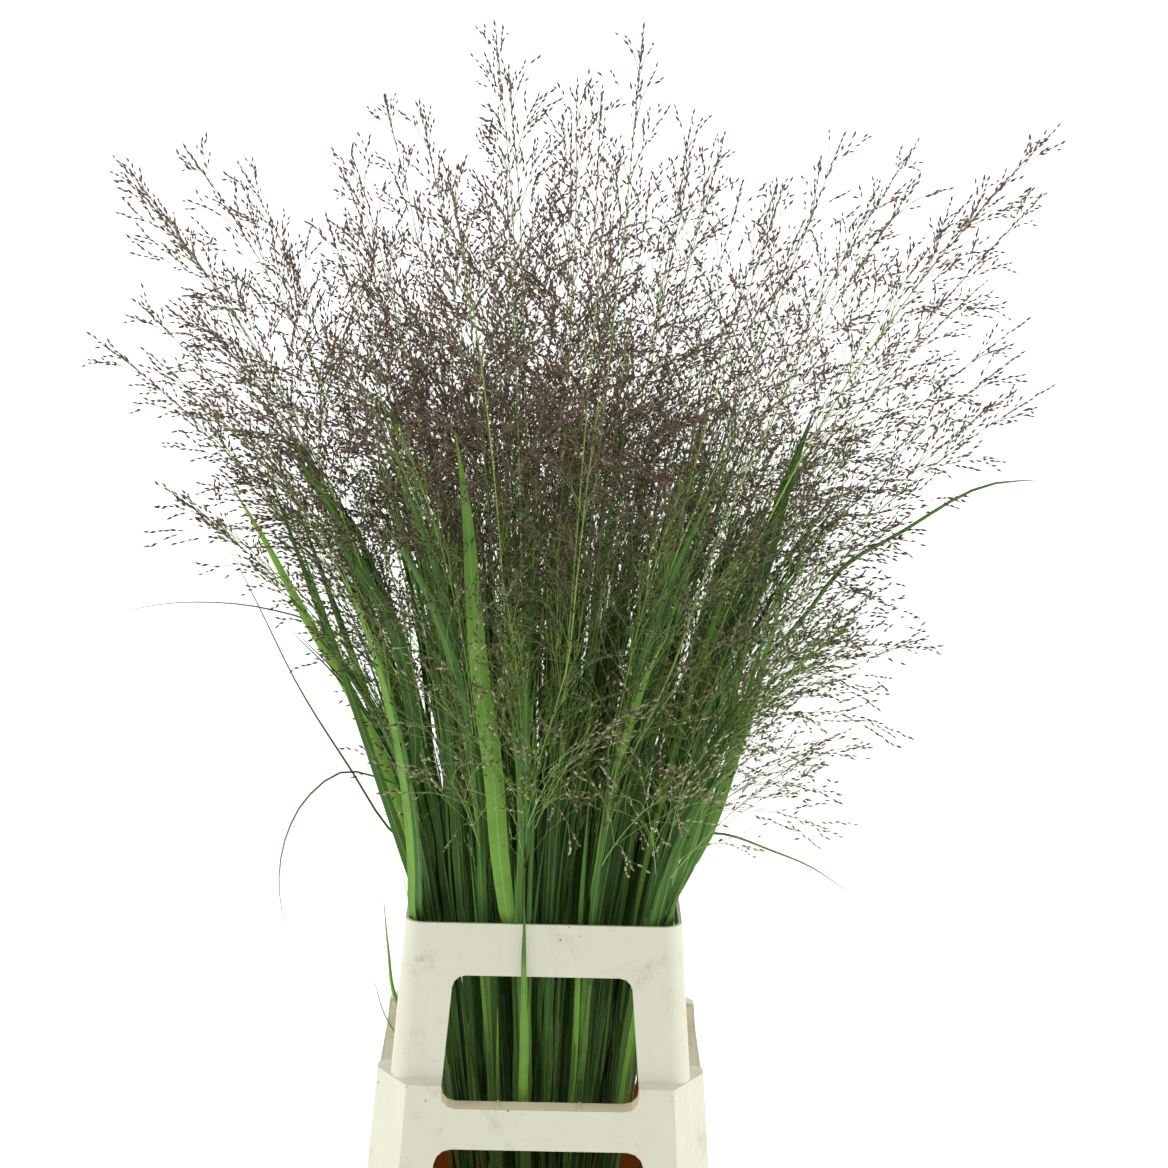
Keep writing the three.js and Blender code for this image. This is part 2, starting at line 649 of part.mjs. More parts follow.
const stems = Array.from({ length: STEMS }, (_, i) => layOut(i));
const taken = new Taken();
for (const stem of stems) {
  stem.line = culmPoints(stem);
  stem.solid = makeCulm(stem);
  taken.add(ballsAlong(stem.line, CULM_RADIUS_FOOT), stem.i);
}
for (const stem of stems) {
  const blades = LONG_LEAVES.filter((leaf) => leaf.stem === stem.i).map((leaf) => longLeafRoute(stem, leaf));
  while (blades.length < BLADES_PER_STEM) blades.push(bladeRoute(stem, blades.length));
  for (const blade of blades) {
    const balls = ballsAlong(blade.points, BLADE_BALL, blade.halfWidths, blade.side);
    if (taken.blocks(balls, stem.i)) continue;
    taken.add(balls, stem.i);
    stem.solid = stem.solid.add(bladeSolid(blade.points, blade.halfWidths, blade.side));
  }
}
for (const stem of stems) {
  for (let j = 0; j < BRANCHES; j++) {
    for (let attempt = 0; attempt < BRANCH_TRIES; attempt++) {
      const branch = branchRoute(stem, j, attempt * BRANCH_SWING);
      const balls = ballsAlong(branch.points, BRANCH_BALL);
      if (taken.blocks(balls, stem.i)) continue;
      taken.add(balls, stem.i);
      stem.solid = stem.solid.add(rod(branch.points, branch.radii, BRANCH_SIDES));
      break;
    }
  }
}

function makeWater() {
  const bottom = STEM_FOOT_Z;
  const top = bottom + WATER_DEPTH;
  const half = cavityHalf(bottom) - 2 * GAP;
  let water = drafted(cutCornerSquare(half), bottom, top, (cavityHalf(top) - 2 * GAP) / half);
  for (const stem of stems) {
    const below = onStem(stem, bottom - 2);
    const above = onStem(stem, top + 2);
    const along = new THREE.Vector3().subVectors(above, below).normalize();
    water = water.subtract(skin([
      ring(below, along, HOLE_RADIUS, HOLE_SIDES), ring(above, along, HOLE_RADIUS, HOLE_SIDES),
    ]));
  }
  return water;
}

const plant = new THREE.Group();
plant.add(toMesh('bucket', makeBucket(), COLOURS.bucket));
plant.add(toMesh('collar', makeCollar(), COLOURS.collar));
plant.add(toMesh('water', makeWater(), COLOURS.water, 0.1));
for (const stem of stems) {
  const name = `stem_${String(stem.i + 1).padStart(2, '0')}`;
  plant.add(toMesh(name, stem.solid.asOriginal().simplify(JOIN_TOLERANCE), COLOURS.grass));
}

export default plant;
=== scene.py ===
import math

import bpy
import numpy as np
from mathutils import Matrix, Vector


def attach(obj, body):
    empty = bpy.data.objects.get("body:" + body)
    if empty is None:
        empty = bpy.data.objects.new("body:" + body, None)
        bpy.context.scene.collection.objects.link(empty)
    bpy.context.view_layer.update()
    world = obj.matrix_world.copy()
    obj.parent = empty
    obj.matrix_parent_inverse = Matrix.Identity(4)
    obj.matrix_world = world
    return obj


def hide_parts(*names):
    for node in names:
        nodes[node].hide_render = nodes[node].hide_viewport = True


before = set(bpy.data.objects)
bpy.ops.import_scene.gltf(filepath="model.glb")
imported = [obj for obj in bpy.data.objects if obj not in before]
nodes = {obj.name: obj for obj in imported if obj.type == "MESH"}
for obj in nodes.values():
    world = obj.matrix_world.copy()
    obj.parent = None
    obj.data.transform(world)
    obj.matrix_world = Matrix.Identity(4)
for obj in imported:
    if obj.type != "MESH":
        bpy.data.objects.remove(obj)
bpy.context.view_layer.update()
MM = 0.001

# Camera: a long lens 2.4 m away, a little above the rim and looking slightly down on it. The real
# picture ends just under the collar's shoulder, so the tub below is out of view.
PHOTO_SIDE = 1168
FOCAL_PIXELS = 2823.5
SENSOR = 36
CAMERA_TILT = math.radians(10.4)
CAMERA_YAW = math.radians(-0.7)
CAMERA_ROLL = math.radians(1.4)
CAMERA_DISTANCE = 2.4
AIM_ACROSS = 0.0278
AIM_HEIGHT = 0.6697


def placed(name, data):
    """A new object of the scene, made of this mesh, lamp or lens."""
    made = bpy.data.objects.new(name, data)
    bpy.context.scene.collection.objects.link(made)
    return made


def place_camera():
    back = np.array([
        math.sin(CAMERA_YAW) * math.cos(CAMERA_TILT),
        -math.cos(CAMERA_YAW) * math.cos(CAMERA_TILT),
        math.sin(CAMERA_TILT),
    ])
    level = np.array([math.cos(CAMERA_YAW), math.sin(CAMERA_YAW), 0])
    upright = np.cross(level, -back)
    right = level * math.cos(CAMERA_ROLL) + upright * math.sin(CAMERA_ROLL)
    up = -level * math.sin(CAMERA_ROLL) + upright * math.cos(CAMERA_ROLL)
    place = level * AIM_ACROSS + np.array([0, 0, AIM_HEIGHT]) + back * CAMERA_DISTANCE
    turned = np.eye(4)
    turned[:3, 0], turned[:3, 1], turned[:3, 2], turned[:3, 3] = right, up, back, place
    lens = bpy.data.cameras.new("camera")
    lens.sensor_width = SENSOR
    lens.lens = FOCAL_PIXELS / PHOTO_SIDE * SENSOR
    camera = placed("camera", lens)
    camera.matrix_world = turned.T.tolist()
    bpy.context.scene.camera = camera


place_camera()

# Studio: a round sweep of white paper, a floor that curves up into a wall all round, brighter behind
# the bucket than in front of it, under an open white ceiling. A soft lamp stands to each side.
SWEEP_RADIUS = 7.0
SWEEP_BEND = 1.8
SWEEP_HEIGHT = 4.5
SWEEP_SIDES = 72
SWEEP_STEPS = 17
ROOM_LIGHT = 0.5
PAPER_GLOW = 0.5
PAPER_DIM = (0.2, 0.2, 0.2, 1)
PAPER_BRIGHT = (1, 1, 1, 1)
PAPER_CHANGE = 3.0
PAPER_WHITE = (0.93, 0.93, 0.93, 1)
LAMPS = [
    {"name": "lamp_left", "at": (-2.9, -0.8, 1.4), "size": 2.2, "power": 41},
    {"name": "lamp_right", "at": (2.9, -0.7, 1.3), "size": 2.2, "power": 41},
]
LAMP_AIM = (0, 0, 0.6)


class Value:
    """A shader socket that plain expressions can add, multiply and compare."""

    def __init__(self, finish, socket):
        self.finish = finish
        self.socket = socket

    def maths(self, operation, *numbers):
        inputs = dict(enumerate(numbers))
        node = self.finish.node("ShaderNodeMath", {"operation": operation}, inputs)
        return Value(self.finish, node.outputs[0])

    def __add__(self, other):
        return self.maths("ADD", self, other)

    def __radd__(self, other):
        return self.maths("ADD", other, self)

    def __sub__(self, other):
        return self.maths("SUBTRACT", self, other)

    def __rsub__(self, other):
        return self.maths("SUBTRACT", other, self)

    def __mul__(self, other):
        return self.maths("MULTIPLY", self, other)

    def __rmul__(self, other):
        return self.maths("MULTIPLY", other, self)

    def __gt__(self, other):
        return self.maths("GREATER_THAN", self, other)

    def __abs__(self):
        return self.maths("ABSOLUTE", self)

    def or_more(self, other):
        return self.maths("MAXIMUM", self, other)

    def wave(self):
        return self.maths("SINE", self)

    def ramp(self, low, high):
        """0 below low, 1 above high, smooth between; low may be the larger."""
        node = self.finish.node(
            "ShaderNodeMapRange", {"interpolation_type": "SMOOTHSTEP"},
            {"Value": self, "From Min": low, "From Max": high},
        )
        return Value(self.finish, node.outputs[0])


class Nodes:
    """A node tree, built node by node."""

    def node(self, kind, settings, inputs):
        """Makes a node of this type: its settings first, then the values or links of its sockets."""
        made = self.tree.nodes.new(kind)
        for name, value in settings.items():
            setattr(made, name, value)
        for name, value in inputs.items():
            for item in value if isinstance(value, list) else [value]:
                item = item.socket if isinstance(item, Value) else item
                if isinstance(item, bpy.types.NodeSocket):
                    self.tree.links.new(item, made.inputs[name])
                else:
                    made.inputs[name].default_value = item
        return made


class Finish(Nodes):
    """One material: a Principled shader, its constants, and the nodes that vary it."""

    def __init__(self, name, **constants):
        self.material = bpy.data.materials.new(name)
        self.material.use_nodes = True
        self.tree = self.material.node_tree
        self.shader = self.tree.nodes["Principled BSDF"]
        for words, value in constants.items():
            socket = words.replace("_", " ").title().replace("Ior", "IOR")
            self.shader.inputs[socket].default_value = value

    def place(self):
        """Object coordinates, and each of them by itself."""
        point = self.node("ShaderNodeTexCoord", {}, {}).outputs["Object"]
        parts = self.node("ShaderNodeSeparateXYZ", {}, {"Vector": Value(self, point)})
        return Value(self, point), *(Value(self, parts.outputs[axis]) for axis in "XYZ")

    def stretched(self, point, scale):
        node = self.node("ShaderNodeMapping", {}, {"Vector": point, "Scale": scale})
        return Value(self, node.outputs["Vector"])

    def noise(self, point, scale, detail=3.0, roughness=0.5):
        node = self.node("ShaderNodeTexNoise", {}, {
            "Vector": point, "Scale": scale, "Detail": detail, "Roughness": roughness,
        })
        return Value(self, node.outputs["Fac"])

    def cells(self, point, scale):
        node = self.node("ShaderNodeTexVoronoi", {}, {"Vector": point, "Scale": scale})
        return Value(self, node.outputs["Distance"])

    def attribute(self, name):
        node = self.node("ShaderNodeAttribute", {"attribute_name": name}, {})
        return Value(self, node.outputs["Fac"])

    def blend(self, first, second, share):
        """A colour that runs from first to second as share runs from 0 to 1."""
        node = self.node("ShaderNodeMix", {"data_type": "RGBA"}, {0: share, 6: first, 7: second})
        return Value(self, node.outputs[2])

    def feed(self, name, value):
        self.tree.links.new(value.socket, self.shader.inputs[name])

    def bump(self, height, strength, depth):
        node = self.node("ShaderNodeBump", {}, {"Height": height, "Strength": strength, "Distance": depth})
        self.tree.links.new(node.outputs["Normal"], self.shader.inputs["Normal"])


def make_studio():
    scene = bpy.context.scene
    scene.view_settings.view_transform = "Standard"
    world = bpy.data.worlds.new("room")
    world.use_nodes = True
    light = world.node_tree.nodes["Background"]
    light.inputs["Color"].default_value = (1, 1, 1, 1)
    light.inputs["Strength"].default_value = ROOM_LIGHT
    scene.world = world

    flat = SWEEP_RADIUS - SWEEP_BEND
    bend = [
        (flat + SWEEP_BEND * math.sin(a), SWEEP_BEND * (1 - math.cos(a)))
        for a in np.linspace(0, math.pi / 2, SWEEP_STEPS)
    ]
    points = []
    for radius, z in [*bend, (SWEEP_RADIUS, SWEEP_HEIGHT)]:
        for turn in np.arange(SWEEP_SIDES) * 2 * math.pi / SWEEP_SIDES:
            points.append((radius * math.cos(turn), radius * math.sin(turn), z))
    faces = [tuple(range(SWEEP_SIDES))]
    for start in range(0, len(points) - SWEEP_SIDES, SWEEP_SIDES):
        for side in range(SWEEP_SIDES):
            low, low_next = start + side, start + (side + 1) % SWEEP_SIDES
            faces.append((low_next, low, low + SWEEP_SIDES, low_next + SWEEP_SIDES))
    mesh = bpy.data.meshes.new("sweep")
    mesh.from_pydata(points, [], faces)
    for face in mesh.polygons:
        face.use_smooth = True
    paper = Finish("sweep_paper", base_color=PAPER_WHITE, roughness=0.9, emission_strength=PAPER_GLOW)
    _, _, y, _ = paper.place()
    paper.feed("Emission Color", paper.blend(PAPER_DIM, PAPER_BRIGHT, y.ramp(-PAPER_CHANGE, PAPER_CHANGE)))
    mesh.materials.append(paper.material)
    sweep = placed("sweep", mesh)

    for lamp in LAMPS:
        light = bpy.data.lights.new(lamp["name"], "AREA")
        light.size = lamp["size"]
        light.energy = lamp["power"]
        holder = placed(lamp["name"], light)
        holder.location = lamp["at"]
        way = Vector(LAMP_AIM) - holder.location
        holder.rotation_euler = way.to_track_quat("-Z", "Y").to_euler()


make_studio()

# Collar: one moulding in ivory plastic, a skirt with cut corners under a smaller tube. It is used
# again and again, so it carries grey scuffs, streaks and small dark specks. Its inside is painted
# with the glow of light through the skirt's wall: pale tan high up, deep orange brown lower down.
IVORY = (0.662, 0.664, 0.522, 1)
IVORY_WORN = (0.42, 0.41, 0.33, 1)
IVORY_STREAK = (0.70, 0.70, 0.58, 1)
SPECK = (0.10, 0.075, 0.05, 1)
# Painted light: the colours of light shining through the plastic, seen on the inside of the walls.
PALE_PAINTED_GLOW = (0.88, 0.77, 0.52, 1)
DEEP_PAINTED_GLOW = (0.72, 0.20, 0.03, 1)
PATCH_SCALE = 26
STREAK_STRETCH = (70, 70, 5)
GRAIN_SCALE = 260
SPECK_SCALE = 120
SPECK_AREAS = 34
LEDGE = 0.270
LEDGE_FADE = (0.001, 0.004)
WALL_FADE = (-0.0012, -0.0024)
GLOWS_BELOW = (0.24, 0.215)
SKIRT_HALF = 0.1373
SKIRT_DRAFT = 0.082
CORNER_REACH = 0.1666
CORNER_WAY = (0.85, 0.527)
RIBS_AT = (-0.035, 0.033)
RIB_FADE = (0.0014, 0.0008)
RIB_FOOT = (0.235, 0.24)


def ivory_plastic(name, worn):
    finish = Finish(name, roughness=0.42, ior=1.49)
    point, x, y, z = finish.place()
    patches = finish.noise(point, PATCH_SCALE, detail=8, roughness=0.66)
    streaks = finish.noise(finish.stretched(point, STREAK_STRETCH), 1.0, detail=5, roughness=0.6)
    fine = finish.noise(point, GRAIN_SCALE, detail=4)
    wear = patches.ramp(0.52, 0.74) * worn
    colour = finish.blend(IVORY, IVORY_STREAK, streaks.ramp(0.45, 0.7) * 0.5)
    colour = finish.blend(colour, IVORY_WORN, wear * fine.ramp(0.3, 0.65))
    dotted = finish.noise(point, SPECK_AREAS, detail=2) > 0.63
    dots = finish.cells(point, SPECK_SCALE).ramp(0.18, 0.09) * dotted
    colour = finish.blend(colour, SPECK, dots * worn)
    finish.feed("Roughness", 0.40 + wear * 0.2 + fine * 0.06)
    finish.bump(fine * 0.5 + patches, 0.12, 0.0006)
    return finish, colour, (x, y, z)


def within_walls(x, y, half):
    """1 where a point is more than half a wall inside a square with cut corners, 0 on its outside."""
    flat_side = abs(x).or_more(abs(y)) - half
    cut_corner = abs(x) * CORNER_WAY[0] + abs(y) * CORNER_WAY[1] - half * (CORNER_REACH / SKIRT_HALF)
    return flat_side.or_more(cut_corner).ramp(*WALL_FADE)


def collar_plastic():
    finish, colour, (x, y, z) = ivory_plastic("collar_ivory", worn=0.75)
    # Painted light: inside the walls the plastic takes the colour of light shining through it, pale tan
    # above and deep orange brown lower down; the two ribs stay pale ivory.
    inside = within_walls(x, y, SKIRT_HALF + (LEDGE - z) * SKIRT_DRAFT)
    inside = inside * (LEDGE - z).ramp(*LEDGE_FADE)
    glow = finish.blend(PALE_PAINTED_GLOW, DEEP_PAINTED_GLOW, z.ramp(*GLOWS_BELOW))
    for rib in RIBS_AT:
        glow = finish.blend(glow, IVORY_STREAK, abs(x - rib).ramp(*RIB_FADE) * z.ramp(*RIB_FOOT))
    finish.feed("Base Color", finish.blend(colour, glow, inside))
    return finish.material


def dress(node, material):
    """Gives a CAD node its finish; the node keeps its mesh and place."""
    target = nodes[node]
    target.data.materials.clear()
    target.data.materials.append(material)


dress("collar", collar_plastic())

# Bucket: the tub that carries the collar on a flange, from the same ivory plastic, with its own wear.
# Its inside has the collar's painted glow of light through the wall, and painted shade darkens its foot.
BUCKET_PAINTED_SHADE = (0.58, 0.57, 0.46, 1)
TUB_BASE_HALF = 0.122
TUB_DRAFT = 0.1386
FLOOR_FADE = (0.001, 0.004)
PAINTED_SHADE_BELOW = 0.05


def bucket_plastic():
    finish, colour, (x, y, z) = ivory_plastic("bucket_ivory", worn=0.6)
    # Painted shade: the tub is darker towards its foot, next to the floor.
    colour = finish.blend(colour, BUCKET_PAINTED_SHADE, z.ramp(PAINTED_SHADE_BELOW, 0.0) * 0.5)
    inside = within_walls(x, y, TUB_BASE_HALF + z * TUB_DRAFT)
    # Painted light: the tub's inside walls above its floor get the deep orange brown glow of light through
    # them.
    finish.feed("Base Color", finish.blend(colour, DEEP_PAINTED_GLOW, inside * z.ramp(*FLOOR_FADE)))
    return finish.material


dress("bucket", bucket_plastic())

# Water: a hand's depth of clear, slightly green flower water. It lies loose at the bottom of the tub,
# and the feet of the stems stand in it.
WATER_GREEN = (0.42, 0.55, 0.47, 1)


def flower_water():
    finish = Finish("flower_water", base_color=WATER_GREEN, roughness=0.04, ior=1.33, alpha=0.4)
    point, *_ = finish.place()
    finish.bump(finish.noise(point, 40, detail=2), 0.15, 0.001)
    return finish.material


dress("water", flower_water())

# Stems: 42 cut culms, laid out round a golden-angle spiral, straight through the collar and fanned
# out above its rim. Each culm is a round straw with swollen joints, and a leaf sheath wraps it below
# every leaf. The measures are millimetres and the same as in the solids.
STEMS = 42
RIM_Z = 403.2
STEM_FOOT_Z = 3.3
SPIRAL_START = math.radians(75)
GOLDEN_ANGLE = math.pi * (3 - math.sqrt(5))
SQUARENESS = 0.6
FOOT_HALF = 52
RIM_HALF = 108
FAN = 170
FAN_LENGTH = 700
FAN_DEPTH = 0.9
FAN_DEPTH_RISE = 2
LEAN = 22
LEAN_RISE = 1.2
OUTER_RING = 0.8
CULM_RADIUS_FOOT = 1.8
CULM_RADIUS_NECK = 0.9
CULM_RADIUS_TIP = 0.25
CULM_SIDES = 7
CULM_STEP = 14
JOINT_EVERY = 118
JOINT_CLOSEST = 0.6
JOINT_SWELL = 0.45
JOINT_LENGTH = 5
SHEATH_LENGTH = 125
SHEATH_THICKNESS = 0.75
OUTER_KINDS = [
    {"top": 890, "bend": 1, "panicle": 330},
    {"top": 1015, "bend": 0.24, "panicle": 350},
    {"top": 745, "bend": 2.9, "panicle": 220},
]
OUTER_TOP_SPREAD = 60
BEND_SPREAD = 0.16
INNER_TOP = 1150
INNER_TOP_SPREAD = 110
INNER_TOP_LEVEL = 0.3
INNER_TOP_FALL = 260
PANICLE_SHORTEST = 360
PANICLE_SPREAD = 80
DRAWS = {
    "top": 212, "bend": 2, "panicle": 3, "turn": 10, "reach": 20, "droop": 30, "length": 40, "root": 50,
    "width": 60, "shade": 80, "fold": 90, "twist": 100,
}


def draw(i, k):
    """Repeatable draw between 0 and 1 for item i, quality k."""
    value = math.sin(i * 12.9898 + k * 78.233) * 43758.5453
    return value - math.floor(value)


def bunch_half(z):
    above = max(0, (z - RIM_Z) / FAN_LENGTH)
    straight = FOOT_HALF + (RIM_HALF - FOOT_HALF) * (z - STEM_FOOT_Z) / (RIM_Z - STEM_FOOT_Z)
    return straight + FAN * above * above


class Stem:
    """Where stem i stands in the bunch, how tall it is and how it leans out; a shoot of it stands
    `aside` radians round from it and is another kind of outer stem."""

    def __init__(self, i, aside=0.0, step=0):
        self.i = i
        self.name = f"{i + 1:02d}"
        self.turn = SPIRAL_START + i * GOLDEN_ANGLE + aside
        spread = math.sqrt((i + 0.5) / STEMS)
        self.spread = spread
        c, s = math.cos(self.turn), math.sin(self.turn)
        square = 1 + SQUARENESS * (1 / max(abs(c), abs(s)) - 1)
        self.outer = spread > OUTER_RING
        kind = OUTER_KINDS[(i + step) % len(OUTER_KINDS)]
        self.across = spread * c * square
        self.deep = spread * s * square
        self.bend = kind["bend"] + BEND_SPREAD * draw(i, DRAWS["bend"]) if self.outer else 0
        if self.outer:
            self.top = kind["top"] + OUTER_TOP_SPREAD * (draw(i, DRAWS["top"]) - 0.5)
        else:
            fall = INNER_TOP_FALL * max(0, spread - INNER_TOP_LEVEL)
            self.top = INNER_TOP - fall - INNER_TOP_SPREAD * draw(i, DRAWS["top"])
        shortest = kind["panicle"] if self.outer else PANICLE_SHORTEST
        self.panicle = shortest + PANICLE_SPREAD * draw(i, DRAWS["panicle"])
        self.neck = self.top - self.panicle

    def at(self, z, off=0.0, azimuth=0.0):
        """The point at height z, off bunch half widths from the culm towards azimuth."""
        above = max(0, (z - RIM_Z) / FAN_LENGTH)
        bow = 1 + self.bend * above * above
        half = bunch_half(z)
        depth = 1 - (1 - FAN_DEPTH) * min(1, FAN_DEPTH_RISE * above)
        lean = LEAN * min(1, LEAN_RISE * above)
        return np.array([
            (self.across * bow + off * math.cos(azimuth)) * half + lean,
            (self.deep * bow + off * math.sin(azimuth)) * half * depth,
            z,
        ])

    def radius(self, z):
        if z < self.neck:
            return np.interp(z, [STEM_FOOT_Z, self.neck], [CULM_RADIUS_FOOT, CULM_RADIUS_NECK])
        return np.interp(z, [self.neck, self.top], [CULM_RADIUS_NECK, CULM_RADIUS_TIP])


def unit(vectors):
    return vectors / np.linalg.norm(vectors, axis=-1, keepdims=True)


def headings(points):
    return unit(np.gradient(points, axis=0))


class Skins:
    """Gathers closed skins for one mesh, with the values that the leaf finish reads."""

    def __init__(self):
        self.points, self.faces, self.kinds = [], [], []
        self.values = {"across": [], "along": [], "shade": []}
        self.count = 0

    def add(self, rings, kind, across, shade):
        """rings: stations x points x 3, anticlockwise about the way they run."""
        stations, sides, _ = rings.shape
        self.points.append(rings.reshape(-1, 3))
        start = self.count
        for k in range(stations - 1):
            low, high = start + k * sides, start + (k + 1) * sides
            for s in range(sides):
                n = (s + 1) % sides
                self.faces.append((low + s, low + n, high + n, high + s))
        self.faces.append(tuple(start + s for s in reversed(range(sides))))
        self.faces.append(tuple(start + (stations - 1) * sides + s for s in range(sides)))
        self.kinds += [kind] * ((stations - 1) * sides + 2)
        self.values["across"].append(np.tile(across, stations))
        self.values["along"].append(np.repeat(np.linspace(0, 1, stations), sides))
        self.values["shade"].append(np.full(stations * sides, shade))
        self.count += stations * sides

    def object(self, name, materials, sharp_angle):
        mesh = bpy.data.meshes.new(name)
        mesh.from_pydata(np.concatenate(self.points) * MM, [], self.faces)
        for material in materials:
            mesh.materials.append(material)
        mesh.polygons.foreach_set("material_index", self.kinds)
        mesh.polygons.foreach_set("use_smooth", [True] * len(self.faces))
        for word, parts in self.values.items():
            mesh.attributes.new(word, "FLOAT", "POINT").data.foreach_set("value", np.concatenate(parts))
        mesh.set_sharp_from_angle(angle=sharp_angle)
        return placed(name, mesh)


def carried_frames(points):
    """Two directions across a run at each point, carried along it without twisting."""
    along = headings(points)
    u = np.array([1.0, 0, 0]) if abs(along[0][0]) < 0.8 else np.array([0, 1.0, 0])
    first, second = [], []
    for t in along:
        u = unit(u - t * np.dot(u, t))
        first.append(u)
        second.append(np.cross(t, u))
    return np.array(first), np.array(second)


def straw(points, radii, sides):
    u, v = carried_frames(points)
    turns = np.arange(sides) * 2 * math.pi / sides
    across = u[:, None] * np.cos(turns)[None, :, None] + v[:, None] * np.sin(turns)[None, :, None]
    return points[:, None] + across * np.asarray(radii)[:, None, None]


def culm_skin(stem, sheath_tops, skins):
    heights = np.arange(STEM_FOOT_Z, stem.neck + CULM_STEP, CULM_STEP)
    joint = JOINT_EVERY * (JOINT_CLOSEST + (1 - JOINT_CLOSEST) * draw(stem.i, DRAWS["fold"]))
    radii = []
    for z in heights:
        swell = JOINT_SWELL * math.exp(-(((z % joint) - joint / 2) / JOINT_LENGTH) ** 2)
        wrapped = any(top - SHEATH_LENGTH < z < top for top in sheath_tops)
        radii.append(stem.radius(z) + swell + (SHEATH_THICKNESS if wrapped else 0))
    points = np.array([stem.at(z) for z in heights])
    rings = straw(points, radii, CULM_SIDES)
    skins.add(rings, CULM_KIND, np.ones(CULM_SIDES), draw(stem.i, DRAWS["shade"]))


# Leaves: long flat blades about 10 mm wide with a pale midrib, folded a little along it, that leave
# the culm at a sheath. Some stand out of the bunch and are drawn one by one, the rest follow the rule
# of the solids, and more are added inside, where a real bunch is as full of leaves as it can be.
BLADES_PER_STEM = 3
LEAVES_PER_STEM = 17
BLADE_STATIONS = [0, 0.06, 0.4, 0.75, 1]
BLADE_HALF_WIDTHS = [0.6, 4.4, 5, 2.8, 0.05]
BLADE_STEPS = 18
INNER_STEPS = 11
BLADE_THICKNESS = 0.5
BLADE_TOP_SHARE = 0.2
BLADE_RIB = 0.45
BLADE_STANDOFF = 3.8
BLADE_CELL = 0.06
BLADE_SHORTEST = 260
BLADE_SPREAD = 160
BLADE_NARROWEST = 0.85
BLADE_WIDTH_SPREAD = 0.3
BLADE_TURN = 0.4 * math.pi
BLADE_TURN_SPREAD = 1.2 * math.pi
BLADE_ROOT_LOWEST = 130
BLADE_ROOT_SPREAD = 340
BLADE_FOLD_ROOT = 0.5
BLADE_FOLD_TIP = 0.08
BLADE_TWIST = 0.9
BLADE_BELOW_TOP = 90
FREE_BLADE = {
    "root_lowest": RIM_Z - 35, "root_spread": 140, "reach": 0.15, "reach_spread": 0.2,
    "droop": 0.1, "droop_spread": 0.35,
}
INNER_LEAF = {
    "root_lowest": 75, "root_spread": 390, "turn_spread": 5.0, "reach": 0.02, "reach_spread": 0.14,
    "longest": 430, "shortest": 240, "narrowest": 0.32, "width_spread": 0.7,
    "crowding": 1.25,
}
# Leaves nearer the heart of the bunch get painted shade, and the ruled leaves of outer stems painted light.
HEART_PAINTED_SHADE = 0.4
INNER_SHADE = 0.68
OUTER_PAINTED_LIGHT = 0.25
LEAF_SHARP = math.radians(50)
LONG_LEAF_NECK = 0.6
LONG_LEAF_STOPS = 24
LONG_LEAF_FOLD = 0.35
# Leaves that stand out of the bunch: stem, root, half width, how blunt the tip is, whether the leaf
# faces the front, shade, route.
LONG_LEAVES = [
    (40, 425, 3.6, 3, False, 0.86,
     [(-132, 6, 446), (-169, 2, 503), (-212, -4, 573), (-250, -9, 651), (-284, -15, 720)]),
    (27, 322, 5.8, 3, True, 0.92,
     [(-92, -16, 360), (-108.5, -20, 408), (-127, -26, 480), (-157, -35, 559),
      (-206, -45, 647), (-242, -53, 717), (-268, -60, 761)]),
    (35, 500, 6, 5, True, 0.3,
     [(-110, -74, 545), (-117, -88, 600), (-127, -97, 648), (-154, -105, 692),
      (-182, -111, 731)]),
    (40, 565, 1.8, 4, False, 0.6,
     [(-146, 12, 585), (-184, 12, 621), (-240, 14, 639), (-318, 20, 642), (-400, 25, 624)]),
    (27, 480, 2, 4, False, 0.5,
     [(-116, -24, 492), (-143, -30, 504), (-171, -38, 511), (-205, -45, 486),
      (-219, -48, 458), (-225, -50, 425), (-224, -50, 399), (-208, -50, 349)]),
    (40, 236, 2.6, 2, True, 0.62,
     [(-98, 0, 256), (-116, -6, 278), (-128, -9, 303), (-134, -12, 346), (-139, -14, 398)]),
    (35, 236, 1.2, 2, True, 0.5,
     [(-88, -41, 248), (-113, -42, 266), (-132, -42, 292), (-147, -42, 339)]),
    (38, 205, 6.2, 1, True, 0.4,
     [(-13, -92, 228), (-14, -111, 254), (-14, -119, 298), (-15, -122.4, 341),
      (-16, -121, 383), (-16, -119, 405), (-17, -118, 436)]),
    (38, 362, 8.4, 4, True, 0.76,
     [(-26, -104, 390), (-36, -116, 450), (-44, -134, 540), (-55, -150, 616),
      (-62, -165, 690), (-67, -180, 755), (-77, -200, 825)]),
    (36, 450, 2.6, 4, False, 0.74,
     [(125, -32, 460), (144, -38, 464), (192, -50, 453), (225, -56, 441), (266, -62, 414)]),
    (31, 540, 2, 5, True, 0.6,
     [(150, 38, 566), (190, 40, 602), (222, 42, 640), (254, 44, 683), (297, 46, 710),
      (380, 48, 757), (424, 50, 761)]),
    (28, 540, 7.6, 5, True, 0.18,
     [(128, -66, 575), (150, -70, 640), (170, -80, 690), (188, -94, 768), (209, -106, 838)]),
]
